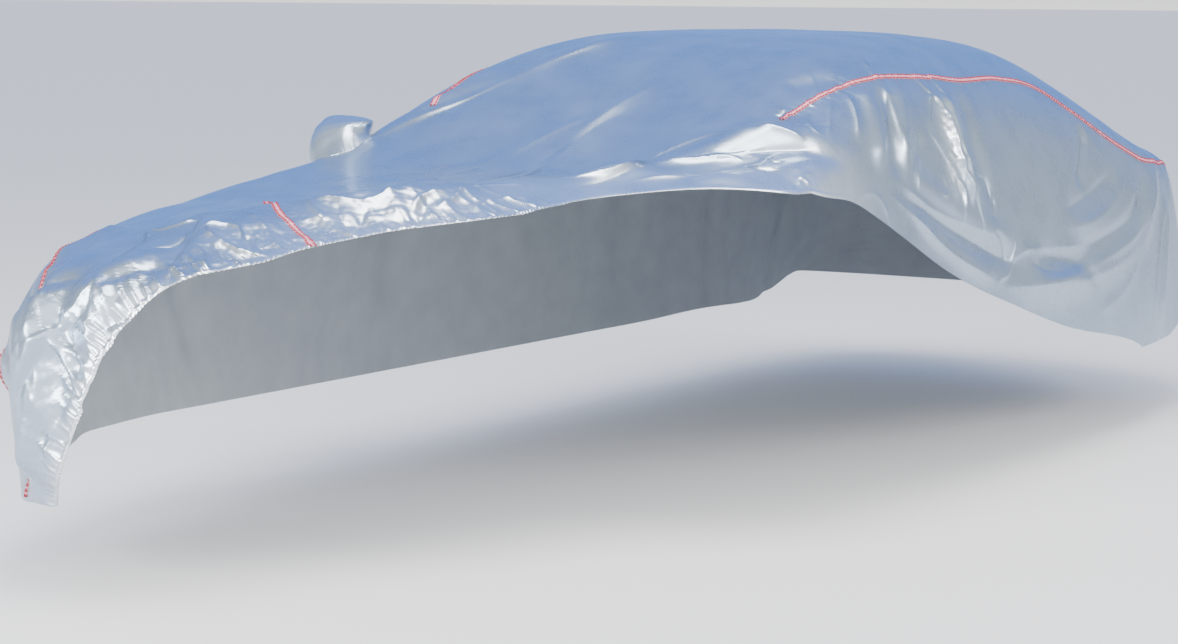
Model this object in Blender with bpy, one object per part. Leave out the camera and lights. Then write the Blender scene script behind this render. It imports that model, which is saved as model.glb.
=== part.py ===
"""A fitted car cover of silver coated taffeta, shown with its front left corner peeled back.

Run with: blender --background --python part.py

The cover keeps the form that it was stretched over, so it is a hollow shell of thin cloth. It is
sewn from a top panel (nose, front deck, front slope, roof, rear slope, rear deck and tail), two
side panels below the roof seams, and a mirror pouch on the right. The elastic front hem has slid
off the left front corner and runs from the foot of the nose up over the front deck.

Metres, +Z up. The front of the cover faces -Y and its left side faces +X. The origin is the point
under the roof by which the cover is held up.

A place on the cloth has two measures, both taken over the cloth:
along    from the front hem to the tail hem, on the centre line
across   from the centre line to the left (+) or to the right (-)
"""

import bpy
import numpy as np

SHEET_THICKNESS = 0.002
SEAM_GAP = 0.0003
POUCH_GAP = 0.0006  # between the pouch's mouth and the edge of its hole
NORMAL_NUDGE = 0.010  # how far off the points lie that a normal is taken from

# ---------------------------------------------------------------------------------------------
# The form that the cloth is stretched over, as one row for each cross-section, nose to tail.
# The heights (z) are above the ground, and y is measured back from a cross-section 0.93 m behind
# the nose. The section is rounded by the corners of half a polygon: crown (on the centre line),
# rail (upper edge), belt (widest place) and hem. The other half mirrors it.
# ---------------------------------------------------------------------------------------------
SECTIONS = (
    # crown        rail                 belt                 hem
    # y      z       x     y      z       x     y      z       x     y      z
    (-0.84, 0.220, 0.46, -0.84, 0.215, 0.72, -0.71, 0.18, 0.80, -0.54, 0.20),  # front hem
    (-0.91, 0.340, 0.49, -0.90, 0.335, 0.74, -0.71, 0.32, 0.81, -0.46, 0.25),
    (-0.93, 0.480, 0.52, -0.90, 0.500, 0.765, -0.70, 0.48, 0.85, -0.36, 0.27),
    (-0.90, 0.660, 0.56, -0.85, 0.670, 0.83, -0.64, 0.65, 0.90, -0.26, 0.28),
    (-0.82, 0.810, 0.60, -0.71, 0.800, 0.88, -0.47, 0.76, 0.93, -0.12, 0.28),  # top of the nose
    (-0.60, 0.870, 0.66, -0.49, 0.870, 0.92, -0.24, 0.82, 0.95, 0.00, 0.28),
    (-0.30, 0.915, 0.71, -0.20, 0.920, 0.96, -0.04, 0.87, 0.96, 0.12, 0.28),
    (0.05, 0.955, 0.75, 0.10, 0.960, 0.97, 0.18, 0.89, 0.96, 0.26, 0.28),
    (0.45, 0.990, 0.78, 0.46, 1.000, 0.97, 0.48, 0.92, 0.96, 0.50, 0.28),
    (0.80, 1.030, 0.78, 0.80, 1.060, 0.97, 0.80, 0.95, 0.96, 0.80, 0.28),  # foot of the front slope
    (1.05, 1.150, 0.77, 1.03, 1.190, 0.96, 1.00, 0.95, 0.96, 1.00, 0.28),
    (1.35, 1.300, 0.75, 1.32, 1.335, 0.96, 1.30, 0.94, 0.96, 1.30, 0.28),
    (1.70, 1.410, 0.71, 1.65, 1.420, 0.95, 1.65, 0.94, 0.96, 1.65, 0.28),  # front of the roof
    (2.10, 1.445, 0.66, 2.10, 1.430, 0.95, 2.10, 0.94, 0.96, 2.10, 0.28),
    (2.55, 1.440, 0.64, 2.50, 1.415, 0.95, 2.50, 0.94, 0.96, 2.50, 0.28),
    (2.95, 1.405, 0.62, 2.90, 1.370, 0.94, 2.90, 0.94, 0.96, 2.90, 0.28),  # back of the roof
    (3.30, 1.280, 0.64, 3.25, 1.250, 0.93, 3.25, 0.93, 0.95, 3.25, 0.29),
    (3.60, 1.145, 0.67, 3.55, 1.120, 0.92, 3.50, 0.91, 0.94, 3.42, 0.29),
    (3.90, 1.060, 0.70, 3.80, 1.030, 0.89, 3.70, 0.88, 0.92, 3.58, 0.29),  # rear deck
    (4.15, 1.010, 0.66, 4.03, 0.975, 0.86, 3.88, 0.84, 0.91, 3.70, 0.30),
    (4.22, 0.850, 0.61, 4.16, 0.820, 0.84, 4.00, 0.71, 0.90, 3.80, 0.33),
    (4.25, 0.620, 0.60, 4.20, 0.610, 0.83, 4.05, 0.55, 0.88, 3.88, 0.37),
    (4.20, 0.380, 0.56, 4.17, 0.380, 0.80, 4.05, 0.39, 0.86, 3.94, 0.40),  # tail hem
)

# The left hem: how far across the cloth reaches at each place along. Past the last row the left
# side hangs to the same height as the right.
LEFT_HEM = (
    # along, across
    (0.00, -0.45),
    (0.26, -0.27),
    (0.57, -0.11),
    (0.79, 0.05),
    (1.00, 0.10),
    (1.21, 0.17),
    (1.46, 0.33),
    (1.91, 0.46),
    (2.10, 0.66),
    (2.18, 0.83),
    (2.30, 0.90),
    (2.58, 1.02),
    (2.87, 1.21),
    (3.08, 1.33),
    (3.35, 1.45),
    (3.61, 1.525),
    (3.95, 1.60),
    (4.30, 1.65),
    (4.90, 1.64),
)
FULL_DROP_FROM = 5.20

# The roof seams, between the top panel and the side panels, the same on both sides.
SEAM_START = 2.58
ROOF_SEAM = (
    # along, across
    (2.58, 0.64),
    (2.97, 0.71),
    (3.30, 0.755),
    (3.65, 0.765),
    (4.05, 0.745),
    (4.35, 0.755),
    (4.55, 0.82),
    (4.80, 0.88),
    (5.10, 0.89),
    (5.40, 0.86),
    (5.80, 0.79),
    (6.10, 0.70),
    (6.42, 0.62),
)

# The folds that the cloth hangs in. Each runs from one place on the cloth to another, with a bow to
# the side at its middle, and stands out (+) or sinks in (-) by its height. It rises and fades over
# FOLD_FADE of its length, and starts FOLD_LEAD of its length before its end.
FOLD_FADE = 0.30
FOLD_LEAD = 0.12
FOLDS = (
    # along  across  along  across   bow   height  width
    (0.34, -0.64, 0.58, -0.66, 0.02, 0.030, 0.060),  # flap at the nose's right corner
    (0.10, -0.44, 0.64, -0.46, -0.02, 0.016, 0.035),  # nose, from the flap to the hem
    (0.14, -0.56, 0.44, -0.56, 0.00, -0.012, 0.050),
    (0.26, -0.36, 0.60, -0.38, 0.02, -0.018, 0.040),
    (0.34, -0.24, 0.70, -0.31, 0.00, 0.020, 0.040),
    (0.52, -0.14, 0.84, -0.24, 0.02, -0.014, 0.040),
    (0.80, -0.10, 1.14, -0.50, 0.03, 0.014, 0.060),  # crumples behind the front hem
    (1.02, 0.02, 1.40, -0.34, 0.03, -0.014, 0.060),
    (1.30, 0.14, 1.85, -0.20, 0.03, 0.012, 0.070),
    (1.96, 0.30, 2.60, 0.74, -0.06, 0.022, 0.060),  # from the hem to the left of the front slope
    (2.10, 0.52, 2.58, 0.88, -0.02, -0.014, 0.045),
    (1.86, 0.19, 2.90, 0.05, 0.04, -0.010, 0.110),  # slack bands over the front slope
    (1.70, -0.10, 2.80, -0.16, 0.04, 0.010, 0.110),
    (2.51, -0.78, 3.25, -0.28, 0.06, 0.014, 0.060),  # from the pouch to the roof
    (2.60, -0.60, 3.14, -0.46, 0.04, -0.010, 0.060),
    (2.80, 0.56, 2.96, 0.68, 0.00, -0.010, 0.050),  # pleats above the roof seam
    (2.98, 0.76, 2.80, 0.98, 0.00, 0.018, 0.050),  # pleats below the start of the roof seam
    (3.20, 0.78, 3.00, 1.02, 0.01, 0.016, 0.045),
    (3.08, 0.78, 2.92, 1.04, 0.00, -0.014, 0.050),
    (3.46, 0.80, 3.46, 1.24, 0.05, 0.022, 0.050),  # long pleat down the left side
    (3.58, 0.84, 3.56, 1.20, 0.05, -0.014, 0.050),
    (3.00, 1.06, 3.66, 1.33, 0.03, 0.020, 0.045),  # drag lines along the lower hem
    (3.04, 1.12, 3.72, 1.41, 0.03, -0.018, 0.045),
    (3.02, 1.17, 3.52, 1.44, 0.02, 0.016, 0.040),
    (5.34, 0.94, 3.74, 1.48, -0.18, 0.028, 0.060),  # swags that hang from the rear deck's corner
    (5.00, 1.00, 4.26, 1.30, -0.08, 0.022, 0.055),
    (5.06, 1.12, 4.20, 1.40, -0.10, -0.022, 0.055),
    (4.60, 0.92, 4.40, 1.14, 0.00, -0.016, 0.050),
    (3.92, 1.39, 4.44, 1.47, -0.02, -0.014, 0.040),
    (5.56, 1.02, 5.40, 1.46, 0.02, 0.014, 0.060),  # left tail corner
    (5.90, -0.30, 6.40, -0.42, 0.02, 0.014, 0.080),  # tail
    (5.95, 0.24, 6.40, 0.30, 0.02, 0.016, 0.080),
    (1.40, -0.98, 1.60, -1.44, 0.02, 0.016, 0.080),  # right side
    (2.75, -1.00, 2.85, -1.60, 0.02, 0.018, 0.080),
    (3.45, -0.92, 3.55, -1.60, -0.02, -0.016, 0.080),
    (4.20, -0.92, 4.30, -1.62, 0.02, 0.018, 0.080),
    (4.95, -0.98, 5.05, -1.56, 0.00, 0.016, 0.080),
    (5.74, -0.84, 5.86, -1.44, 0.02, 0.018, 0.070),
)

# The slack nose of the cover, which lies in a puffed roll behind the elastic front hem. The roll
# has its crest ROLL_BACK behind the hem and grows and fades along the hem.
ROLL_BACK = 0.26
ROLL_HEIGHTS = (
    # along, height
    (0.00, 0.010),
    (0.50, 0.020),
    (0.90, 0.052),
    (1.30, 0.070),
    (1.70, 0.050),
    (2.20, 0.025),
    (2.60, 0.000),
)

# The grid of the cloth: where along it the cells start, and how many reach to the next start. The
# last reach to the tail hem.
ALONG_LINES = (
    # from, cells
    (0.00, 8),
    (0.70, 15),
    (2.30, 2),  # beside the pouch
    (2.50, 1),
    (SEAM_START, 10),
    (3.70, 15),
    (5.50, 8),
)
RIGHT_CELLS = 12
TOP_CELLS = 14
LEFT_CELLS = 9
EVEN_UNTIL = 1.20  # ahead of this the lines along the cloth are evenly spread

# The mirror pouch is sewn round a hole in the top panel. It is a bag of oval rings from the hole to
# its closed top. Each ring's axis leans out from upright by an angle, in degrees.
POUCH_ALONG = (2.30, 2.50)
POUCH_CELLS = (7, 10)  # lines along the cloth, counted from the right hem
POUCH_SEGMENTS = 20
POUCH_TURN = 12.0  # from the cover's length, in degrees
POUCH_TOP_RISE = 0.006
POUCH_RINGS = (
    # centre x, y, z    half length, half width, lean
    (-0.915, 0.935, 1.030, 0.098, 0.112, 40.0),
    (-0.938, 0.958, 1.070, 0.100, 0.115, 28.0),
    (-0.941, 0.976, 1.108, 0.096, 0.110, 15.0),
    (-0.938, 0.988, 1.134, 0.080, 0.094, 6.0),
    (-0.933, 0.994, 1.150, 0.048, 0.060, -4.0),
)

# Where the cover is held up under its roof, on the centre line.
REST_ALONG = 3.70


def curve_through(knots, values, at):
    """A smooth curve through values at uneven knots: each piece is a cubic whose slope at a knot is
    the mean of the slopes on both sides, weighted by the nearer side."""
    knots = np.asarray(knots, float)
    values = np.asarray(values, float).reshape(len(knots), -1)
    step = np.diff(knots)[:, None]
    slope = np.diff(values, axis=0) / step
    weight = step[:-1] / (step[:-1] + step[1:])
    tangent = np.vstack([slope[:1], slope[:-1] * (1 - weight) + slope[1:] * weight, slope[-1:]])
    cell = np.clip(np.searchsorted(knots, at, side="right") - 1, 0, len(knots) - 2)
    part = (at - knots[cell])[:, None] / step[cell]
    start = (2 * part**3 - 3 * part**2 + 1) * values[cell]
    end = (3 * part**2 - 2 * part**3) * values[cell + 1]
    lean_out = (part**3 - 2 * part**2 + part) * step[cell] * tangent[cell]
    lean_in = (part**3 - part**2) * step[cell] * tangent[cell + 1]
    return start + end + lean_out + lean_in


def table_at(table, at):
    """The second column of a two-column table, read at places in the first."""
    columns = np.array(table)
    inside = np.clip(at, columns[0, 0], columns[-1, 0])
    return curve_through(columns[:, 0], columns[:, 1], inside)[:, 0]


def section_corners():
    """The corners of each whole section, right hem to left hem, and their places along."""
    rows = np.array(SECTIONS)
    crown = np.column_stack([np.zeros(len(rows)), rows[:, 0:2]])
    left = [crown, rows[:, 2:5], rows[:, 5:8], rows[:, 8:11]]
    right = [corner * (-1, 1, 1) for corner in left[:0:-1]]
    run = np.linalg.norm(np.diff(crown, axis=0), axis=1)
    return np.concatenate([[0.0], np.cumsum(run)]), np.stack(right + left, axis=1)


def rounded(corners, steps):
    """Each section as a quadratic spline that touches the middle of every side of its polygon and
    starts and ends at its first and last corner."""
    part = np.linspace(0.0, 1.0, steps + 1)[None, :, None]
    middles = (corners[:, 1:] + corners[:, :-1]) / 2
    middles[:, 0] = corners[:, 0]
    middles[:, -1] = corners[:, -1]
    pieces = []
    for corner in range(1, corners.shape[1] - 1):
        first = middles[:, corner - 1, None]
        bend = corners[:, corner, None]
        last = middles[:, corner, None]
        pieces.append((1 - part) ** 2 * first + 2 * part * (1 - part) * bend + part**2 * last)
    return np.concatenate([pieces[0]] + [piece[:, 1:] for piece in pieces[1:]], axis=1)


STEPS_PER_CORNER = 40
KNOTS, CORNERS = section_corners()
LENGTH = KNOTS[-1]


def sections_at(along):
    """The rounded sections at places along, and the distance across at each of their points."""
    flat = curve_through(KNOTS, CORNERS.reshape(len(KNOTS), -1), along)
    curves = rounded(flat.reshape(len(along), -1, 3), STEPS_PER_CORNER)
    run = np.linalg.norm(np.diff(curves, axis=1), axis=2)
    across = np.concatenate([np.zeros((len(along), 1)), np.cumsum(run, axis=1)], axis=1)
    return curves, across - across[:, across.shape[1] // 2, None]


def smooth_step(value):
    """0 below 0, 1 above 1, and a smooth rise between."""
    value = np.clip(value, 0.0, 1.0)
    return value * value * (3 - 2 * value)


def fold_height(along, across):
    """How far the folds and the roll stand out from the form. A fold is a bell across its line,
    faded at its ends. The roll rises from the hem to its crest and falls away behind it."""
    height = np.zeros(along.shape)
    for start_along, start_across, end_along, end_across, bow, tall, wide in FOLDS:
        run = np.array([end_along - start_along, end_across - start_across])
        length = np.linalg.norm(run)
        run = run / length
        gone_along = along - start_along
        gone_across = across - start_across
        part = (gone_along * run[0] + gone_across * run[1]) / length
        aside = gone_across * run[0] - gone_along * run[1] - bow * 4 * part * (1 - part)
        rise = smooth_step((part + FOLD_LEAD) / FOLD_FADE)
        fade = rise * smooth_step((1 + FOLD_LEAD - part) / FOLD_FADE)
        height += tall * fade * np.exp(-((aside / wide) ** 2))
    behind = (left_hem(along.ravel()).reshape(along.shape) - across) / ROLL_BACK
    roll = np.where(behind < 1, smooth_step(behind), 1 / (1 + (behind - 1) ** 2))
    tall = table_at(ROLL_HEIGHTS, along.ravel()).reshape(along.shape)
    return height + tall * roll


def full_drop(along):
    """The distance over the cloth from the centre line to the hem where the cover hangs fully."""
    return sections_at(along)[1][:, -1]


def left_hem(along):
    """The distance across to the left hem, which is nowhere past the full drop."""
    peeled = table_at(LEFT_HEM, along)
    whole = full_drop(along)
    blend = smooth_step((along - LEFT_HEM[-1][0]) / (FULL_DROP_FROM - LEFT_HEM[-1][0]))
    return np.minimum(peeled, whole) * (1 - blend) + whole * blend


def on_form(along, across):
    """Points of the bare form at places along (one for each row) and across (a row for each)."""
    curves, reach = sections_at(along)
    points = np.empty(across.shape + (3,))
    for row in range(len(along)):
        for axis in range(3):
            points[row, :, axis] = np.interp(across[row], reach[row], curves[row, :, axis])
    return points


def form_normals(along, across):
    """Outward normals of the bare form, from points a little way off in each direction."""
    ahead = on_form(np.clip(along + NORMAL_NUDGE, 0, LENGTH), across)
    before = on_form(np.clip(along - NORMAL_NUDGE, 0, LENGTH), across)
    right = on_form(along, across - NORMAL_NUDGE)
    left = on_form(along, across + NORMAL_NUDGE)
    normals = np.cross(left - right, ahead - before)
    return normals / np.linalg.norm(normals, axis=2, keepdims=True)


def outer_surface(along, across):
    """Points of the cloth's outer face."""
    spread = np.repeat(along[:, None], across.shape[1], axis=1)
    height = fold_height(spread, across)
    return on_form(along, across) + form_normals(along, across) * height[:, :, None]


def lines_along():
    """The places along of all lines that run across the cloth."""
    ends = [start for start, _ in ALONG_LINES[1:]] + [LENGTH]
    lines = [
        np.linspace(start, end, cells + 1)[:-1] for (start, cells), end in zip(ALONG_LINES, ends)
    ]
    return np.concatenate(lines + [[LENGTH]])


def lines_across(along):
    """For each place along, the distances across of the lines that run along the cloth. Behind the
    seam's start they follow the hems and the seams, and at the nose they are evenly spread."""
    right = -full_drop(along)
    left = left_hem(along)
    seam = table_at(ROOF_SEAM, along)
    marks = [(right, -seam, RIGHT_CELLS), (-seam, seam, TOP_CELLS), (seam, left, LEFT_CELLS)]
    fitted = []
    for first, last, cells in marks:
        part = np.linspace(0, 1, cells + 1)[None, :-1]
        fitted.append(first[:, None] + (last - first)[:, None] * part)
    fitted = np.hstack(fitted + [left[:, None]])
    even = right[:, None] + (left - right)[:, None] * np.linspace(0, 1, fitted.shape[1])[None, :]
    blend = smooth_step((along - EVEN_UNTIL) / (SEAM_START - EVEN_UNTIL))[:, None]
    return even * (1 - blend) + fitted * blend


def taffeta():
    """The cloth's finish: silver coating on polyester taffeta."""
    material = bpy.data.materials.new("silver_coated_taffeta")
    material.use_nodes = True
    shader = material.node_tree.nodes["Principled BSDF"]
    shader.inputs["Base Color"].default_value = (0.42, 0.47, 0.52, 1.0)
    shader.inputs["Metallic"].default_value = 0.7
    shader.inputs["Roughness"].default_value = 0.38
    return material


def add_object(name, points, faces, material):
    """A smooth-shaded object made from points and faces."""
    mesh = bpy.data.meshes.new(name)
    mesh.from_pydata([tuple(point) for point in points], [], [tuple(face) for face in faces])
    mesh.materials.append(material)
    mesh.shade_smooth()
    placed = bpy.data.objects.new(name, mesh)
    bpy.context.scene.collection.objects.link(placed)
    return placed


def turned_over(corners):
    """A face's corners in the other direction, from the same first corner."""
    return corners[:1] + corners[:0:-1]


def sheet_of_cells(outer, inner, cells):
    """The points and faces of a closed sheet. cells holds four corner numbers for each cell, turned
    so that its outer face points out; a wall closes every edge that belongs to one cell only. An
    inner cell turns the other way from the same first corner, so both split on one diagonal."""
    used, renumbered = np.unique(cells, return_inverse=True)
    cells = renumbered.reshape(cells.shape)
    points = np.vstack([outer[used], inner[used]])
    count = len(used)
    edges = np.concatenate([np.stack([cells[:, i], cells[:, (i + 1) % 4]], 1) for i in range(4)])
    keys = {tuple(edge) for edge in edges.tolist()}
    border = [edge for edge in keys if (edge[1], edge[0]) not in keys]
    faces = cells.tolist()
    faces += [[corner + count for corner in turned_over(cell)] for cell in cells.tolist()]
    faces += [[b, a, a + count, b + count] for a, b in sorted(border)]
    return points, faces


def panel(name, along, across, keep, origin, material):
    """One panel of the cover: the kept cells of a grid, as a closed sheet of cloth."""
    outer = outer_surface(along, across)
    inner = outer - form_normals(along, across) * SHEET_THICKNESS
    numbers = np.arange(outer[..., 0].size).reshape(outer.shape[:2])
    quads = [numbers[:-1, :-1], numbers[:-1, 1:], numbers[1:, 1:], numbers[1:, :-1]]
    cells = np.stack(quads, axis=2)[keep]
    points, faces = sheet_of_cells(outer.reshape(-1, 3), inner.reshape(-1, 3), cells)
    return add_object(name, points - origin, faces, material)


def hole_edge(along, across):
    """The edge of the pouch's hole, as evenly spread points on the straight sides of its cells,
    the left side first, drawn in by the seam gap."""
    first, last = (int(np.argmin(abs(along - edge))) for edge in POUCH_ALONG)
    right, left = POUCH_CELLS
    outer = outer_surface(along, across)
    inner = outer - form_normals(along, across) * SHEET_THICKNESS
    front = [(first, column) for column in range(right, left)]
    side = [(row, left) for row in range(first, last)]
    back = [(last, column) for column in range(left, right, -1)]
    other = [(row, right) for row in range(last, first, -1)]
    corners = front + side + back + other
    loops = []
    for surface in (outer, inner):
        loop = np.array([surface[corner] for corner in corners])
        closed = np.vstack([loop, loop[:1]])
        run = np.concatenate([[0.0], np.cumsum(np.linalg.norm(np.diff(closed, axis=0), axis=1))])
        spots = np.linspace(0, run[-1], POUCH_SEGMENTS, endpoint=False)
        ring = np.column_stack([np.interp(spots, run, closed[:, axis]) for axis in range(3)])
        middle = ring.mean(axis=0)
        inward = middle - ring
        ring += inward / np.linalg.norm(inward, axis=1, keepdims=True) * POUCH_GAP
        loops.append(ring)
    return loops


def ring_directions(lean):
    """The directions of a pouch ring's axis, length and width."""
    turn, lean = np.radians([POUCH_TURN, lean])
    length_way = np.array([np.sin(turn), np.cos(turn), 0.0])
    outward = np.array([-np.cos(turn), np.sin(turn), 0.0])
    axis = outward * np.sin(lean) + np.array([0.0, 0.0, np.cos(lean)])
    return axis, length_way, np.cross(length_way, axis)


def mirror_pouch(along, across, origin, material):
    """The pouch: rings from the hole's edge to the top, inside and outside, joined at the hole."""
    outer_edge, inner_edge = hole_edge(along, across)
    around = outer_edge - outer_edge.mean(axis=0)
    axis, length_way, width_way = ring_directions(POUCH_RINGS[0][-1])
    turned = np.arctan2(around @ width_way, around @ length_way)
    outer = [outer_edge]
    inner = [inner_edge]
    for level, (x, y, z, half_length, half_width, lean) in enumerate(POUCH_RINGS):
        axis, length_way, width_way = ring_directions(lean)
        facing_up = level / (len(POUCH_RINGS) - 1)  # the wall stands at the first ring
        for rings, shrink in ((outer, 0.0), (inner, SHEET_THICKNESS)):
            reach = np.outer(np.cos(turned), length_way) * (half_length - shrink)
            reach += np.outer(np.sin(turned), width_way) * (half_width - shrink)
            rings.append(np.array([x, y, z]) - axis * shrink * facing_up + reach)
    tip = np.array(POUCH_RINGS[-1][:3]) + axis * POUCH_TOP_RISE
    points = np.vstack(outer + [[tip]] + inner + [[tip - axis * SHEET_THICKNESS]])
    ring_count = len(outer)
    start_inner = ring_count * POUCH_SEGMENTS + 1
    faces = []
    for ring in range(ring_count):
        for spot in range(POUCH_SEGMENTS):
            beside = (spot + 1) % POUCH_SEGMENTS
            a = ring * POUCH_SEGMENTS + spot
            b = ring * POUCH_SEGMENTS + beside
            if ring < ring_count - 1:
                quad = [a, b, b + POUCH_SEGMENTS, a + POUCH_SEGMENTS]
            else:
                quad = [a, b, ring_count * POUCH_SEGMENTS]
            faces.append(quad)
            faces.append([corner + start_inner for corner in turned_over(quad)])
            if ring == 0:
                faces.append([b, a, a + start_inner, b + start_inner])
    return add_object("right_mirror_pouch", points - origin, faces, material)


def build():
    for left_over in list(bpy.data.objects):
        bpy.data.objects.remove(left_over, do_unlink=True)
    material = taffeta()
    along = lines_along()
    across = lines_across(along)
    rest = np.array([REST_ALONG]), np.zeros((1, 1))
    roof = outer_surface(*rest) - form_normals(*rest) * SHEET_THICKNESS
    origin = np.array([0.0, roof[0, 0, 1], roof[0, 0, 2]])

    seam_row = int(np.argmin(abs(along - SEAM_START)))
    rows = len(along) - 1
    columns = across.shape[1] - 1
    row, column = np.indices((rows, columns))
    right_seam = RIGHT_CELLS
    left_seam = RIGHT_CELLS + TOP_CELLS

    top = (row < seam_row) | ((column >= right_seam) & (column < left_seam))
    past_front = along[:-1] > POUCH_ALONG[0] - SEAM_GAP
    in_pouch_rows = past_front & (along[1:] < POUCH_ALONG[1] + SEAM_GAP)
    top &= ~(in_pouch_rows[:, None] & (column >= POUCH_CELLS[0]) & (column < POUCH_CELLS[1]))
    panel("top_panel", along, across, top, origin, material)

    side_along = along[seam_row:].copy()
    side_along[0] += SEAM_GAP
    side_across = lines_across(side_along)
    side_across[:, left_seam] += SEAM_GAP
    side_across[:, right_seam] -= SEAM_GAP
    kept = np.zeros((len(side_along) - 1, columns), bool)
    left_cells = kept.copy()
    left_cells[:, left_seam:] = True
    panel("left_side_panel", side_along, side_across, left_cells, origin, material)
    right_cells = kept.copy()
    right_cells[:, :right_seam] = True
    panel("right_side_panel", side_along, side_across, right_cells, origin, material)
    mirror_pouch(along, across, origin, material)


build()
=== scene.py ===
"""A fitted car cover of silver coated taffeta, peeled back at its front left corner.

Metres, +Z up. The front of the cover faces -Y and its left side faces +X. A place on the cloth has
two measures, both taken over the cloth: along, from the front hem to the tail hem on the centre
line, and across, from the centre line to the left (+) or to the right (-).
"""

import bpy
import numpy as np
from mathutils import Matrix


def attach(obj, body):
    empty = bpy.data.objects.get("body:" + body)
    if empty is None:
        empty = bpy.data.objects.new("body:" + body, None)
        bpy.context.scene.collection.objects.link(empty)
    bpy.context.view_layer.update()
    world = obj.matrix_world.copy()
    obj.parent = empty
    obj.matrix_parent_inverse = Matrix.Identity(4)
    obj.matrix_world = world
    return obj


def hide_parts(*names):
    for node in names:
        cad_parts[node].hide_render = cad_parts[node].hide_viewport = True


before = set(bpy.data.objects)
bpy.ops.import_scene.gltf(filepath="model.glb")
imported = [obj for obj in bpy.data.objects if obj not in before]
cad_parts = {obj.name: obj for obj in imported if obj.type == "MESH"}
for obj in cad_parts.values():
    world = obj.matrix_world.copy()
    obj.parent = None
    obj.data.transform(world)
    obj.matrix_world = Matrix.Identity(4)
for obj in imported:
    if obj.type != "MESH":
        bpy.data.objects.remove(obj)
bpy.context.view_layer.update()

# ==================================================================================== camera
# It stands ahead of the cover and to its left, a little above the roof, and looks slightly down.
# A 76 mm lens on a 36 mm wide sensor, with no shift.
ROOF_REST = np.array([0.0, 2.1483, 1.4404])  # the frame's origin, from the datum of the sections
CAMERA_PLACE = np.array([4.221, -5.410, 1.530])
CAMERA_YAW, CAMERA_PITCH, CAMERA_ROLL = np.radians([33.27, -7.32, 0.52])


def linked(name, data):
    """A new object in the scene with this mesh, camera or light."""
    made = bpy.data.objects.new(name, data)
    bpy.context.scene.collection.objects.link(made)
    return made


camera = linked("camera", bpy.data.cameras.new("camera"))
camera.data.lens = 76.02
camera.data.sensor_width = 36.0
camera.data.clip_end = 4000.0
camera.location = CAMERA_PLACE - ROOF_REST
bpy.context.scene.camera = camera


def camera_turn(yaw, pitch, roll):
    """The camera's directions as rows: right, up and back. Forward is yaw to the left of +Y and
    pitch above level; right and up are then rolled about it."""
    forward = np.array(
        [-np.sin(yaw) * np.cos(pitch), np.cos(yaw) * np.cos(pitch), np.sin(pitch)]
    )
    level = np.cross(forward, (0.0, 0.0, 1.0))
    level /= np.linalg.norm(level)
    upright = np.cross(level, forward)
    right = np.cos(roll) * level + np.sin(roll) * upright
    return np.array([right, np.cross(right, forward), -forward])


camera.rotation_euler = Matrix(camera_turn(CAMERA_YAW, CAMERA_PITCH, CAMERA_ROLL).T).to_euler()

# ================================================================================= top panel
# One panel of silver coated taffeta from the front hem over the front deck, the front slope and
# the roof to the tail hem. An elastic drawn through the front hem gathers it, and the cloth behind
# that hem lies in a crumpled roll. Seams join it to the side panels.
SHEET_THICKNESS = 0.002

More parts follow.
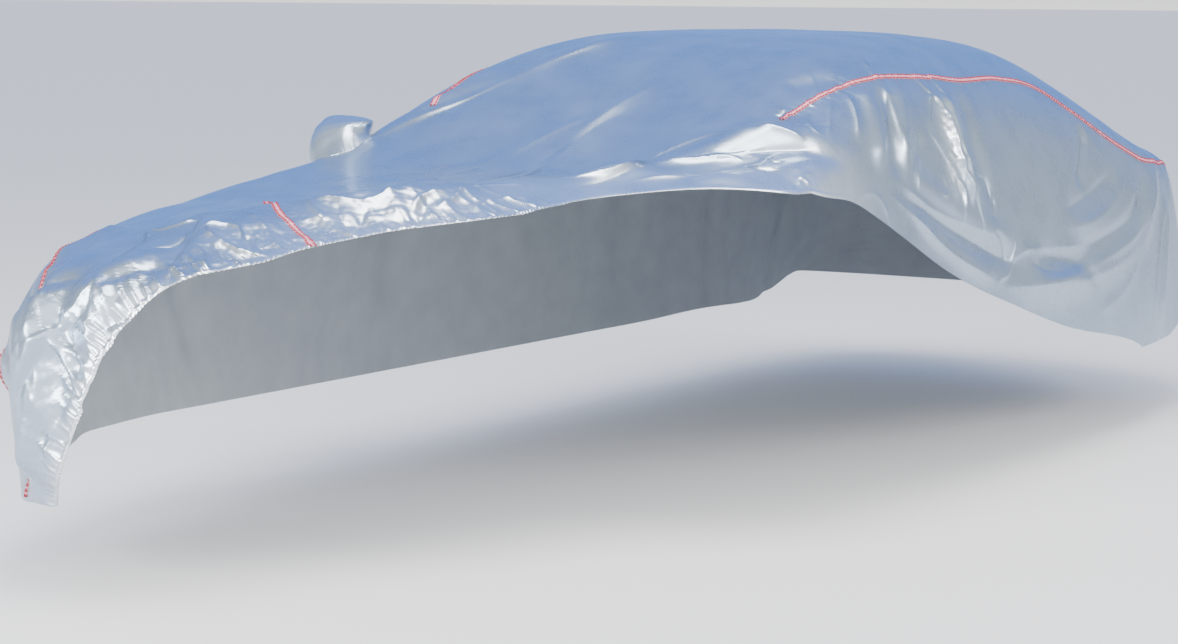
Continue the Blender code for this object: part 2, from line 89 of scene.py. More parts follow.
# The form that the cloth is stretched over, one row for each cross-section, nose to tail.
SECTIONS = (
    # crown        rail                 belt                  hem
    # y      z       x     y      z       x      y      z       x     y      z
    (-0.84, 0.220, 0.46, -0.84, 0.215, 0.72, -0.71, 0.18, 0.80, -0.54, 0.20),
    (-0.91, 0.340, 0.49, -0.90, 0.335, 0.74, -0.71, 0.32, 0.81, -0.46, 0.25),
    (-0.93, 0.480, 0.52, -0.90, 0.500, 0.765, -0.70, 0.48, 0.85, -0.36, 0.27),
    (-0.90, 0.660, 0.56, -0.85, 0.670, 0.83, -0.64, 0.65, 0.90, -0.26, 0.28),
    (-0.82, 0.810, 0.60, -0.71, 0.800, 0.88, -0.47, 0.76, 0.93, -0.12, 0.28),
    (-0.60, 0.870, 0.66, -0.49, 0.870, 0.92, -0.24, 0.82, 0.95, 0.00, 0.28),
    (-0.30, 0.915, 0.71, -0.20, 0.920, 0.96, -0.04, 0.87, 0.96, 0.12, 0.28),
    (0.05, 0.955, 0.75, 0.10, 0.960, 0.97, 0.18, 0.89, 0.96, 0.26, 0.28),
    (0.45, 0.990, 0.78, 0.46, 1.000, 0.97, 0.48, 0.92, 0.96, 0.50, 0.28),
    (0.80, 1.030, 0.78, 0.80, 1.060, 0.97, 0.80, 0.95, 0.96, 0.80, 0.28),
    (1.05, 1.150, 0.77, 1.03, 1.190, 0.96, 1.00, 0.95, 0.96, 1.00, 0.28),
    (1.35, 1.300, 0.75, 1.32, 1.335, 0.96, 1.30, 0.94, 0.96, 1.30, 0.28),
    (1.70, 1.410, 0.71, 1.65, 1.420, 0.95, 1.65, 0.94, 0.96, 1.65, 0.28),
    (2.10, 1.445, 0.66, 2.10, 1.430, 0.95, 2.10, 0.94, 0.96, 2.10, 0.28),
    (2.55, 1.440, 0.64, 2.50, 1.415, 0.95, 2.50, 0.94, 0.96, 2.50, 0.28),
    (2.95, 1.405, 0.62, 2.90, 1.370, 0.94, 2.90, 0.94, 0.96, 2.90, 0.28),
    (3.30, 1.280, 0.64, 3.25, 1.250, 0.93, 3.25, 0.93, 0.95, 3.25, 0.29),
    (3.60, 1.145, 0.67, 3.55, 1.120, 0.92, 3.50, 0.91, 0.94, 3.42, 0.29),
    (3.90, 1.060, 0.70, 3.80, 1.030, 0.89, 3.70, 0.88, 0.92, 3.58, 0.29),
    (4.15, 1.010, 0.66, 4.03, 0.975, 0.86, 3.88, 0.84, 0.91, 3.70, 0.30),
    (4.22, 0.850, 0.61, 4.16, 0.820, 0.84, 4.00, 0.71, 0.90, 3.80, 0.33),
    (4.25, 0.620, 0.60, 4.20, 0.610, 0.83, 4.05, 0.55, 0.88, 3.88, 0.37),
    (4.20, 0.380, 0.56, 4.17, 0.380, 0.80, 4.05, 0.39, 0.86, 3.94, 0.40),
)
LEFT_HEM = (
    # along, across: past the last row the left side hangs as low as the right
    (0.00, -0.45), (0.26, -0.27), (0.57, -0.11), (0.79, 0.05), (1.00, 0.10),
    (1.21, 0.17), (1.46, 0.33), (1.91, 0.46), (2.10, 0.66), (2.18, 0.83),
    (2.30, 0.90), (2.58, 1.02), (2.87, 1.21), (3.08, 1.33), (3.35, 1.45),
    (3.61, 1.525), (3.95, 1.60), (4.30, 1.65), (4.90, 1.64),
)  # fmt: skip
FULL_DROP_FROM = 5.20  # along
SEAM_START = 2.58  # along, where the roof seams and the side panels start
ROOF_SEAM = (
    # along, across: the same on both sides
    (2.58, 0.64), (2.97, 0.71), (3.30, 0.755), (3.65, 0.765), (4.05, 0.745),
    (4.35, 0.755), (4.55, 0.82), (4.80, 0.88), (5.10, 0.89), (5.40, 0.86),
    (5.80, 0.79), (6.10, 0.70), (6.42, 0.62),
)  # fmt: skip
ROLL_BACK = 0.26  # of the roll's crest behind the hem
ROLL_HEIGHTS = (
    # along, height of the roll behind the front hem
    (0.00, 0.010), (0.50, 0.012), (0.90, 0.042), (1.30, 0.066), (1.70, 0.050),
    (2.20, 0.025), (2.60, 0.000),
)  # fmt: skip

# Soft folds that the cloth hangs in: from a place on the cloth to another, with a bow to the side
# at the middle, standing out (+) or sinking in (-) by the height. They run on over the seams, so the
# side panels lie in the same folds.
FOLDS = (
    # along  across  along  across   bow   height  width
    (0.04, -0.63, 0.30, -0.64, 0.00, -0.036, 0.075),  # under the flap at the nose's right corner
    (0.14, -0.56, 0.44, -0.56, 0.00, -0.012, 0.050),  # nose, from the flap to the hem
    (0.30, -0.36, 0.48, -0.34, 0.02, -0.012, 0.050),
    (0.64, -0.30, 0.84, -0.44, 0.02, -0.012, 0.090),
    (0.60, -0.14, 0.84, -0.24, 0.02, -0.010, 0.050),
    (0.80, -0.10, 1.14, -0.50, 0.03, 0.014, 0.060),  # crumples behind the front hem
    (1.02, 0.02, 1.40, -0.34, 0.03, -0.014, 0.060),
    (1.30, 0.14, 1.85, -0.20, 0.03, 0.012, 0.070),
    (1.96, 0.30, 2.60, 0.74, -0.06, 0.022, 0.060),  # from the hem to the left of the front slope
    (2.10, 0.52, 2.58, 0.88, -0.02, -0.014, 0.045),
    (1.86, 0.19, 2.90, 0.05, 0.04, -0.010, 0.110),  # slack bands over the front slope
    (1.70, -0.10, 2.80, -0.16, 0.04, 0.010, 0.110),
    (2.51, -0.78, 3.25, -0.28, 0.06, 0.014, 0.060),  # from the pouch to the roof
    (2.60, -0.60, 3.14, -0.46, 0.04, -0.010, 0.060),
    (2.80, 0.56, 2.96, 0.68, 0.00, -0.010, 0.050),  # pleats above the roof seam
    (2.98, 0.76, 2.80, 0.98, 0.00, 0.018, 0.050),  # pleats below the start of the roof seam
    (3.20, 0.78, 3.00, 1.02, 0.01, 0.016, 0.045),
    (3.08, 0.78, 2.92, 1.04, 0.00, -0.014, 0.050),
    (3.46, 0.80, 3.46, 1.24, 0.05, 0.012, 0.050),  # long pleat down the left side
    (3.58, 0.84, 3.56, 1.20, 0.05, -0.014, 0.050),
    (3.00, 1.06, 3.66, 1.33, 0.03, 0.014, 0.045),  # drag lines along the lower hem
    (3.04, 1.12, 3.72, 1.41, 0.03, -0.012, 0.045),
    (3.02, 1.17, 3.52, 1.44, 0.02, 0.010, 0.040),
    (5.34, 0.94, 3.74, 1.48, -0.18, 0.020, 0.060),  # swags that hang from the rear deck's corner
    (5.00, 1.00, 4.26, 1.30, -0.08, 0.014, 0.055),
    (5.06, 1.12, 4.20, 1.40, -0.10, -0.014, 0.055),
    (4.60, 0.92, 4.40, 1.14, 0.00, -0.010, 0.050),
    (3.92, 1.39, 4.44, 1.47, -0.02, -0.014, 0.040),
    (5.56, 1.02, 5.40, 1.46, 0.02, 0.014, 0.060),  # left tail corner
    (5.90, -0.30, 6.40, -0.42, 0.02, 0.014, 0.080),  # tail
    (5.95, 0.24, 6.40, 0.30, 0.02, 0.016, 0.080),
    (1.40, -0.98, 1.60, -1.44, 0.02, 0.016, 0.080),  # right side
    (2.75, -1.00, 2.85, -1.60, 0.02, 0.018, 0.080),
    (3.45, -0.92, 3.55, -1.60, -0.02, -0.016, 0.080),
    (4.20, -0.92, 4.30, -1.62, 0.02, 0.018, 0.080),
    (4.95, -0.98, 5.05, -1.56, 0.00, 0.016, 0.080),
    (5.74, -0.84, 5.86, -1.44, 0.02, 0.018, 0.070),
)

# Pinched creases, given in the same way. The width is that of one flank near the crest.
CREASES = (
    # along  across  along  across   bow   height  width
    (0.53, -0.54, 0.49, -0.80, 0.00, -0.062, 0.055),  # hollow over the flap at the nose's corner
    (0.70, -0.70, 0.98, -0.68, 0.02, 0.020, 0.060),  # shoulder over the nose's corner
    (1.55, -0.70, 2.30, -0.84, 0.00, 0.020, 0.100),  # right edge of the deck, to the pouch
    (0.55, -0.44, 0.26, -0.41, -0.02, 0.026, 0.034),  # nose: first pleat, beside the flap
    (0.53, -0.37, 0.38, -0.25, 0.01, -0.022, 0.034),  # hollow between the pleats
    (0.60, -0.26, 0.40, -0.21, 0.01, 0.022, 0.034),  # second pleat
    (0.52, -0.32, 0.42, -0.40, -0.01, 0.008, 0.012),
    (0.42, -0.40, 0.35, -0.22, -0.04, 0.008, 0.014),
    (0.57, -0.19, 0.52, -0.14, 0.02, -0.008, 0.016),
    (0.59, -0.23, 0.49, -0.16, 0.00, 0.007, 0.010),
    (0.35, -0.43, 0.13, -0.51, -0.02, 0.012, 0.020),  # foot of the flap
    (0.21, -0.42, 0.21, -0.31, 0.01, -0.007, 0.014),
    (0.29, -0.40, 0.17, -0.41, -0.03, 0.008, 0.014),
    (0.36, -0.33, 0.31, -0.24, 0.01, 0.007, 0.012),
    (0.42, -0.61, 0.52, -0.44, 0.00, 0.010, 0.022),  # top of the flap
    (0.28, -0.56, 0.42, -0.60, -0.01, 0.006, 0.014),
    (0.64, -0.70, 0.56, -0.44, -0.05, 0.006, 0.016),
    (0.60, -0.26, 0.69, -0.17, 0.01, -0.008, 0.020),
    (0.67, -0.28, 0.91, -0.44, 0.02, 0.008, 0.014),
    (0.91, -0.44, 0.99, -0.30, 0.03, 0.012, 0.010),  # facets on the roll
    (0.77, -0.27, 0.90, -0.25, 0.04, -0.007, 0.009),
    (1.01, -0.32, 0.70, -0.12, -0.02, -0.010, 0.016),
    (0.90, -0.19, 0.92, -0.07, -0.05, 0.010, 0.009),
    (0.90, -0.18, 0.88, 0.04, 0.03, 0.009, 0.009),
    (0.80, -0.12, 0.70, -0.02, -0.02, 0.008, 0.012),
    (0.97, -0.12, 0.90, 0.04, 0.01, -0.006, 0.012),
    (1.08, -0.24, 0.95, 0.01, -0.02, 0.006, 0.010),
    (0.98, -0.07, 0.87, -0.01, -0.01, 0.007, 0.009),
    (0.85, -0.10, 0.77, 0.01, 0.01, 0.006, 0.008),
    (0.77, -0.15, 0.69, -0.02, 0.01, 0.006, 0.008),
    (1.43, -0.29, 1.30, 0.04, 0.10, 0.008, 0.012),  # crest of the roll over the front deck
    (1.30, 0.04, 1.40, 0.07, 0.01, 0.009, 0.010),
    (1.25, -0.12, 1.16, 0.02, 0.01, 0.007, 0.009),
    (1.25, -0.01, 1.18, 0.08, 0.01, -0.006, 0.010),
    (1.29, 0.06, 1.15, 0.13, 0.01, -0.007, 0.012),
    (1.36, 0.16, 1.51, 0.17, -0.02, 0.009, 0.009),
    (1.43, 0.20, 1.58, 0.17, 0.01, 0.009, 0.009),
    (1.58, 0.17, 1.55, 0.24, 0.00, 0.006, 0.008),
    (1.43, 0.16, 1.32, 0.20, 0.00, -0.006, 0.010),
    (1.62, 0.16, 1.80, 0.23, 0.00, 0.005, 0.007),
    (1.51, 0.26, 1.73, 0.30, -0.02, 0.005, 0.010),
    (1.50, 0.33, 1.76, 0.39, 0.02, -0.005, 0.009),
    (1.80, 0.19, 2.80, 0.06, -0.13, 0.007, 0.026),  # slack bands over the front slope
    (1.60, 0.12, 2.57, -0.04, -0.24, 0.006, 0.026),
    (1.61, 0.21, 2.60, 0.04, -0.15, -0.005, 0.024),
    (2.42, -0.76, 3.15, -0.29, 0.06, 0.010, 0.024),  # long creases from the pouch to the roof
    (2.59, -0.68, 3.09, -0.51, 0.02, 0.008, 0.022),
    (2.50, -0.63, 3.05, -0.31, 0.01, -0.007, 0.024),
    (2.17, -0.82, 2.46, -0.74, -0.07, 0.006, 0.020),
    (1.96, 0.30, 2.29, 0.31, 0.08, 0.009, 0.009),  # folded patch ahead of the left side
    (1.93, 0.35, 2.17, 0.41, 0.01, -0.006, 0.008),
    (2.29, 0.31, 2.49, 0.54, -0.04, 0.008, 0.014),
    (2.17, 0.38, 2.50, 0.63, -0.06, 0.008, 0.026),  # fold edge up to the seam's start
    (2.25, 0.47, 2.42, 0.66, 0.01, 0.007, 0.009),
    (2.31, 0.57, 2.34, 0.63, -0.01, 0.005, 0.006),
    (2.34, 0.56, 2.52, 0.79, 0.01, -0.009, 0.016),
    (2.31, 0.67, 2.32, 0.76, 0.02, 0.006, 0.006),
    (2.38, 0.70, 2.39, 0.75, 0.02, 0.005, 0.006),
    (2.31, 0.65, 2.29, 0.70, -0.02, 0.004, 0.005),
    (2.29, 0.71, 2.43, 0.72, -0.01, 0.005, 0.008),
    (2.50, 0.63, 2.53, 0.75, 0.00, 0.007, 0.010),
    (2.67, 0.59, 2.57, 0.68, -0.02, 0.006, 0.008),
    (2.62, 0.61, 2.66, 0.63, 0.01, -0.005, 0.007),
    (2.31, 0.83, 2.32, 0.87, -0.01, 0.003, 0.008),
    (2.28, 0.85, 2.38, 0.85, -0.01, 0.003, 0.007),
    (2.06, 0.45, 2.21, 0.69, -0.03, 0.004, 0.009),
    (2.92, 0.58, 2.77, 0.69, -0.01, 0.004, 0.008),  # pleats above the roof seam
    (2.99, 0.63, 2.87, 0.71, 0.00, 0.005, 0.008),
    (2.77, 0.64, 2.73, 0.69, 0.01, 0.003, 0.006),
    (3.20, 0.63, 3.11, 0.75, 0.00, 0.005, 0.010),
    (2.84, 0.68, 2.81, 0.71, 0.00, 0.002, 0.006),
    (2.88, 0.74, 2.74, 0.87, -0.01, 0.008, 0.013),  # pleats below the roof seam
    (3.11, 0.79, 3.01, 0.97, 0.01, 0.009, 0.020),
    (3.11, 0.78, 2.90, 0.93, -0.01, 0.004, 0.008),
    (2.80, 0.72, 2.63, 0.80, 0.00, 0.003, 0.010),
    (2.67, 0.70, 2.60, 0.78, 0.02, 0.003, 0.008),
    (3.40, 0.80, 3.26, 0.96, 0.00, 0.005, 0.007),  # crinkled streak down the left side
    (3.34, 0.86, 3.39, 0.89, -0.03, 0.006, 0.009),
    (3.39, 0.91, 3.39, 1.10, 0.01, 0.009, 0.009),
    (3.26, 0.97, 3.36, 1.13, 0.00, 0.006, 0.008),
    (3.36, 1.13, 3.37, 1.21, -0.01, 0.007, 0.008),
    (3.39, 1.10, 3.41, 1.21, -0.01, 0.006, 0.008),
    (3.33, 1.06, 3.54, 1.12, -0.02, 0.004, 0.012),
    (3.18, 0.97, 3.01, 1.09, 0.00, -0.008, 0.020),
    (3.12, 1.03, 3.05, 1.12, 0.01, 0.005, 0.012),
    (3.27, 1.11, 3.22, 1.16, -0.03, 0.005, 0.010),
    (3.43, 1.15, 3.54, 1.25, -0.10, -0.004, 0.008),
    (3.58, 1.19, 3.54, 1.25, -0.01, -0.005, 0.008),
    (2.95, 1.09, 3.54, 1.31, 0.03, 0.009, 0.016),  # drag lines along the lower hem
    (2.95, 1.12, 3.67, 1.40, 0.02, -0.009, 0.018),
    (2.97, 1.17, 3.48, 1.44, 0.03, 0.009, 0.014),
    (2.63, 1.02, 2.81, 1.16, -0.04, 0.004, 0.012),
    (2.85, 1.09, 3.13, 1.29, 0.00, 0.004, 0.012),
    (3.71, 1.32, 3.57, 1.45, -0.03, 0.006, 0.007),  # crescent where the drag lines meet the swag
    (3.54, 1.30, 3.64, 1.39, -0.02, -0.006, 0.010),
    (3.83, 1.36, 3.55, 1.46, 0.02, 0.004, 0.010),
    (5.36, 0.90, 3.69, 1.48, -0.18, 0.012, 0.024),  # swags
    (4.84, 1.04, 4.25, 1.29, -0.05, 0.010, 0.020),
    (4.72, 1.05, 4.24, 1.23, -0.02, -0.010, 0.022),
    (5.13, 1.01, 4.32, 1.36, -0.05, -0.009, 0.024),
    (3.85, 1.41, 4.39, 1.38, 0.05, -0.006, 0.016),
    (3.75, 1.36, 4.39, 1.35, 0.01, 0.006, 0.018),
    (4.59, 0.92, 4.38, 1.13, 0.00, -0.007, 0.014),
    (4.62, 0.91, 4.45, 1.10, -0.02, 0.004, 0.012),
    (5.51, 1.02, 5.22, 1.43, 0.05, 0.006, 0.018),
    (3.95, 1.49, 4.86, 1.30, 0.06, 0.005, 0.026),
    (4.49, 1.57, 4.90, 1.33, 0.03, 0.003, 0.026),
)
# Edges where the cloth turns sharply: a height, the widths of the flanks on the left and on the
# right of the path, and the path's places. A path is seen with along to the right.
CRESTS = (
    # the front's upper edge, whose two peaks are the pleats of the nose
    (0.052, 0.034, 0.105, (
        (0.53, -0.54), (0.57, -0.44), (0.45, -0.36), (0.59, -0.26), (0.50, -0.19),
        (0.50, -0.14),
    )),
    # the pleat between the flap and the nose
    (0.028, 0.060, 0.045, ((0.53, -0.45), (0.40, -0.465), (0.25, -0.485), (0.06, -0.52))),
    # the flap's outer edge
    (0.028, 0.016, 0.090, ((0.55, -0.40), (0.43, -0.56), (0.38, -0.59), (0.30, -0.60))),
    # the upper edge of the puffed strip behind the hem
    (0.009, 0.040, 0.100, (
        (0.92, -0.50), (1.02, -0.36), (1.15, -0.22), (1.28, -0.04), (1.38, 0.07), (1.50, 0.15),
        (1.70, 0.20), (1.95, 0.27),
    )),
    # the front edge of the crinkled streak down the left side
    (0.020, 0.028, 0.110, (
        (3.44, 0.80), (3.42, 0.90), (3.40, 1.00), (3.42, 1.10), (3.42, 1.22),
    )),
    # the folded edge ahead of the left side, with a hollow under it
    (0.009, 0.070, 0.028, (
        (2.56, 0.78), (2.50, 0.66), (2.36, 0.57), (2.26, 0.46), (2.14, 0.40), (1.97, 0.29),
    )),
)  # fmt: skip
FOLD_FADE = 0.30  # of a fold's length, over which it rises and fades
FOLD_LEAD = 0.12  # of its length, by which it runs on past each end
PINCH = 0.30  # of a flank's width, over which the top of a crease is round
CREST_FADE = 0.2  # of a crest's length, over which it rises and fades
CREST_TURN = 0.02  # over which one flank's width turns into the other's


def curve_through(knots, values, at):
    """A smooth curve through values at uneven knots: each piece is a cubic whose slope at a knot is
    the mean of the slopes on both sides, weighted by the nearer side."""
    knots = np.asarray(knots, float)
    values = np.asarray(values, float).reshape(len(knots), -1)
    step = np.diff(knots)[:, None]
    slope = np.diff(values, axis=0) / step
    weight = step[:-1] / (step[:-1] + step[1:])
    tangent = np.vstack([slope[:1], slope[:-1] * (1 - weight) + slope[1:] * weight, slope[-1:]])
    cell = np.clip(np.searchsorted(knots, at, side="right") - 1, 0, len(knots) - 2)
    part = (at - knots[cell])[:, None] / step[cell]
    start = (2 * part**3 - 3 * part**2 + 1) * values[cell]
    end = (3 * part**2 - 2 * part**3) * values[cell + 1]
    lean_out = (part**3 - 2 * part**2 + part) * step[cell] * tangent[cell]
    lean_in = (part**3 - part**2) * step[cell] * tangent[cell + 1]
    return start + end + lean_out + lean_in


def table_at(table, at):
    """The second column of a two-column table, read smoothly at places in the first."""
    columns = np.array(table)
    inside = np.clip(np.ravel(at), columns[0, 0], columns[-1, 0])
    return curve_through(columns[:, 0], columns[:, 1], inside)[:, 0].reshape(np.shape(at))


def smooth_step(value):
    """0 below 0, 1 above 1, and 3t^2 - 2t^3 between."""
    value = np.clip(value, 0.0, 1.0)
    return value * value * (3 - 2 * value)


def ramp(value, start, end):
    """0 up to start and 1 past end, or 1 up to end and 0 past start where end is the smaller, with
    a smooth step between."""
    return smooth_step((value - start) / (end - start))


def run_over(points):
    """The distance to each point over the points before it."""
    return np.concatenate([[0.0], np.cumsum(np.linalg.norm(np.diff(points, axis=0), axis=1))])


def section_corners():
    """The places along of the sections, and each whole section's corners, right hem to left hem."""
    rows = np.array(SECTIONS)
    crown = np.column_stack([np.zeros(len(rows)), rows[:, 0:2]])
    left = [crown, rows[:, 2:5], rows[:, 5:8], rows[:, 8:11]]
    right = [corner * (-1, 1, 1) for corner in left[:0:-1]]
    return run_over(crown), np.stack(right + left, axis=1) - ROOF_REST


def rounded(corners, steps):
    """Each section as a quadratic spline that touches the middle of every side of its polygon and
    starts and ends at its first and last corner."""
    part = np.linspace(0.0, 1.0, steps + 1)[None, :, None]
    middles = (corners[:, 1:] + corners[:, :-1]) / 2
    middles[:, 0] = corners[:, 0]
    middles[:, -1] = corners[:, -1]
    pieces = []
    for corner in range(1, corners.shape[1] - 1):
        first = middles[:, corner - 1, None]
        bend = corners[:, corner, None]
        last = middles[:, corner, None]
        pieces.append((1 - part) ** 2 * first + 2 * part * (1 - part) * bend + part**2 * last)
    return np.concatenate([pieces[0]] + [piece[:, 1:] for piece in pieces[1:]], axis=1)


STEPS_PER_CORNER = 40  # of the spline round each corner of a section
KNOTS, CORNERS = section_corners()
LENGTH = KNOTS[-1]
FORM_STEP = 0.010  # spacing of the entries in the tables of the form
FORM_BEYOND = 0.05  # how far they go on past the hems
FORM_ALONG = np.arange(-FORM_BEYOND, LENGTH + FORM_BEYOND, FORM_STEP)
FORM_WIDE = 1.92  # just past the longest drop on each side
FORM_ACROSS = np.arange(-FORM_WIDE, FORM_WIDE, FORM_STEP)


def form_tables():
    """The bare form at every entry of a regular (along, across) table: the rounded section at each
    along, read at equal distances across, and carried on straight past its hems. Also its outward
    normals and each section's drop, the distance across from the centre line to its hem."""
    flat = curve_through(KNOTS, CORNERS.reshape(len(KNOTS), -1), FORM_ALONG)
    curves = rounded(flat.reshape(len(FORM_ALONG), -1, 3), STEPS_PER_CORNER)
    run = np.linalg.norm(np.diff(curves, axis=1), axis=2)
    reach = np.concatenate([np.zeros((len(run), 1)), np.cumsum(run, axis=1)], axis=1)
    reach -= reach[:, reach.shape[1] // 2, None]
    points = np.empty((len(FORM_ALONG), len(FORM_ACROSS), 3))
    for row in range(len(FORM_ALONG)):
        inside = np.clip(FORM_ACROSS, reach[row, 0], reach[row, -1])
        for axis in range(3):
            points[row, :, axis] = np.interp(inside, reach[row], curves[row, :, axis])
        for end, near in ((0, 1), (-1, -2)):
            away = curves[row, end] - curves[row, near]
            away /= np.linalg.norm(away)
            beyond = np.abs(FORM_ACROSS - inside) * (np.sign(FORM_ACROSS) == (-1 if end == 0 else 1))
            points[row] += beyond[:, None] * away
    normals = np.cross(np.gradient(points, axis=1), np.gradient(points, axis=0))
    normals /= np.linalg.norm(normals, axis=2, keepdims=True)
    return points, normals, reach[:, -1]


FORM_POINTS, FORM_NORMALS, FORM_DROP = form_tables()


def full_drop(along):
    """The distance over the cloth from the centre line to the hem where the cover hangs fully."""
    return np.interp(along, FORM_ALONG, FORM_DROP)


def left_hem(along):
    """The distance across to the left hem: the table's, then a blend into the full drop."""
    whole = full_drop(along)
    blend = ramp(along, LEFT_HEM[-1][0], FULL_DROP_FROM)
    return np.minimum(table_at(LEFT_HEM, along), whole) * (1 - blend) + whole * blend


def read_form(table, along, across):
    """A table of the form read between its entries: a cubic through the four nearest entries each
    way, with Catmull-Rom weights."""
    row = (along - FORM_ALONG[0]) / FORM_STEP
    column = (across - FORM_ACROSS[0]) / FORM_STEP
    total = 0.0
    corner = []
    for place, count in ((row, table.shape[0]), (column, table.shape[1])):
        cell = np.clip(np.floor(place).astype(int), 1, count - 3)
        t = place - cell
        weights = (
            (-t + 2 * t**2 - t**3) / 2,
            (2 - 5 * t**2 + 3 * t**3) / 2,
            (t + 4 * t**2 - 3 * t**3) / 2,
            (-(t**2) + t**3) / 2,
        )
        corner.append((cell, weights))
    (row, row_weights), (column, column_weights) = corner
    for i in range(4):
        for j in range(4):
            weight = (row_weights[i] * column_weights[j])[..., None]
            total = total + weight * table[row + i - 1, column + j - 1]
    return total


def line_folds(table, along, across, pinched):
    """The sum of folds along lines. Across its line a fold is a bell, exp(-(x/w)^2), or where
    pinched a crest with hollow flanks, exp(-|x|/w) rounded at the top. It fades at its ends."""
    height = np.zeros(along.shape)
    for start_along, start_across, end_along, end_across, bow, tall, wide in table:
        run = np.array([end_along - start_along, end_across - start_across])
        length = np.linalg.norm(run)
        run = run / length
        gone_along = along - start_along
        gone_across = across - start_across
        part = (gone_along * run[0] + gone_across * run[1]) / length
        near = (part > -FOLD_LEAD) & (part < 1 + FOLD_LEAD)
        part = part[near]
        aside = gone_across[near] * run[0] - gone_along[near] * run[1]
        aside -= bow * 4 * part * (1 - part)
        rise = smooth_step((part + FOLD_LEAD) / FOLD_FADE)
        fade = rise * smooth_step((1 + FOLD_LEAD - part) / FOLD_FADE)
        if pinched:
            shape = np.exp(PINCH - np.sqrt((aside / wide) ** 2 + PINCH**2))
        else:
            shape = np.exp(-((aside / wide) ** 2))
        height[near] += tall * fade * shape
    return height


def crests(along, across):
    """The sum of the crests. Off its path a crest falls as exp(-distance / flank), rounded at the
    top, and it fades out at both ends of its path."""
    total = np.zeros(along.shape)
    for tall, left_flank, right_flank, path in CRESTS:
        path = np.array(path)
        start = run_over(path)
        length = np.diff(start)
        best = np.zeros(along.shape)
        for i in range(len(length)):
            run = (path[i + 1] - path[i]) / length[i]
            ahead = (along - path[i, 0]) * run[0] + (across - path[i, 1]) * run[1]
            aside = (across - path[i, 1]) * run[0] - (along - path[i, 0]) * run[1]
            ahead = np.clip(ahead, 0, length[i])
            gone_along = along - path[i, 0] - ahead * run[0]
            gone_across = across - path[i, 1] - ahead * run[1]
            flank = left_flank + (right_flank - left_flank) * smooth_step(0.5 - aside / CREST_TURN)
            off = np.hypot(gone_along, gone_across) / flank
            place = (start[i] + ahead) / start[-1]
            fade = smooth_step(place / CREST_FADE) * smooth_step((1 - place) / CREST_FADE)
            best = np.maximum(best, fade * np.exp(PINCH - np.sqrt(off**2 + PINCH**2)))
        total += tall * best
    return total


def roll(along, across):
    """The roll of slack cloth behind the front hem: a smooth rise to its crest, and a slow fall."""
    behind = (left_hem(along) - across) / ROLL_BACK
    shape = np.where(behind < 1, smooth_step(behind), 1 / (1 + (behind - 1) ** 2))
    return table_at(ROLL_HEIGHTS, along) * shape


WANDER_HEIGHTS = 4096  # random heights in a wandering line
WANDER_ZERO = 1024  # the height at 0


def wander(value, pitch, seed):
    """A smooth random line between -1 and 1: random heights at every pitch, joined smoothly."""
    heights = np.random.default_rng(seed).uniform(-1, 1, WANDER_HEIGHTS)
    place = value / pitch + WANDER_ZERO
    cell = np.floor(place).astype(int)
    return heights[cell] + (heights[cell + 1] - heights[cell]) * smooth_step(place - cell)


FACET_WAVES = 3  # tent waves that are added
FACET_BEND = 0.10  # of a pitch, by which the whole pattern is bent
FACET_STRAY = 0.22  # of a pitch, by which each crease strays from straight


def facets(along, across, pitch, seed):
    """Creased cloth between about -1 and 1: the mean of a few tent waves in random directions and
    of uneven pitch, over a plane that is itself bent, so that flat facets meet at sharp creases."""
    random = np.random.default_rng(seed)
    bend = FACET_BEND * pitch
    bent_along = along + bend * wander(across + 0.3 * along, 0.9 * pitch, seed + 1)
    bent_across = across + bend * wander(along - 0.4 * across, 0.8 * pitch, seed + 2)
    total = np.zeros(along.shape)
    for wave in range(FACET_WAVES):
        angle = np.pi * (wave + random.uniform(0.1, 0.9)) / FACET_WAVES
        place = bent_along * np.cos(angle) + bent_across * np.sin(angle)
        place = place / (pitch * random.uniform(0.75, 1.4)) + random.uniform(0, 1)
        beside = bent_across * np.cos(angle) - bent_along * np.sin(angle)
        place = place + FACET_STRAY * wander(beside, 1.3 * pitch, seed + 3 + wave)
        tent = 1 - 4 * np.abs(place - np.floor(place) - 0.5)
        total += tent * (0.8 + 0.2 * wander(beside, 2 * pitch, seed + 7 + wave))
    return total / FACET_WAVES


HEM_STEPS = np.linspace(-FORM_BEYOND, LENGTH + FORM_BEYOND, 2200)
HEM_SPREAD = 60  # steps on each side over which the hem's slope is averaged
HEM_MEAN = np.ones(2 * HEM_SPREAD + 1) / (2 * HEM_SPREAD + 1)
HEM_SLOPE = np.gradient(left_hem(HEM_STEPS), HEM_STEPS)
HEM_SLOPE = np.convolve(np.pad(HEM_SLOPE, HEM_SPREAD, mode="edge"), HEM_MEAN, mode="valid")
HEM_RUN = np.cumsum(np.sqrt(1 + HEM_SLOPE**2)) * (HEM_STEPS[1] - HEM_STEPS[0])
GATHERS = (
    # pitch, height, reach behind the hem, sharpness
    (0.0125, 0.0020, 0.020, 1.0),
    (0.024, 0.0044, 0.036, 1.2),
    (0.047, 0.0085, 0.058, 2.4),
    (0.105, 0.0090, 0.110, 1.8),
)
GATHER_LEAN = 0.30  # the most that a gather slants from square to the hem
CHANNEL, CHANNEL_HEIGHT = 0.014, 0.0025  # of the elastic's channel along the hem
GATHERS_FADE = (1.62, 1.86)  # along, where the front hem turns from gathered to smooth
SMOOTH_SHARE = 0.08  # of the gathers' height that the smooth hem keeps
CHANNEL_FADE = (2.20, 2.70)  # along, where the smooth hem and its channel fade out


def beside_hem(along, across):
    """The distance along the left hem to the hem's point nearest to each place, and the distance
    behind it."""
    slope = np.interp(along, HEM_STEPS, HEM_SLOPE)
    behind = left_hem(along) - across
    foot = along - slope * behind / (1 + slope**2)
    return np.interp(foot, HEM_STEPS, HEM_RUN), behind / np.sqrt(1 + slope**2)


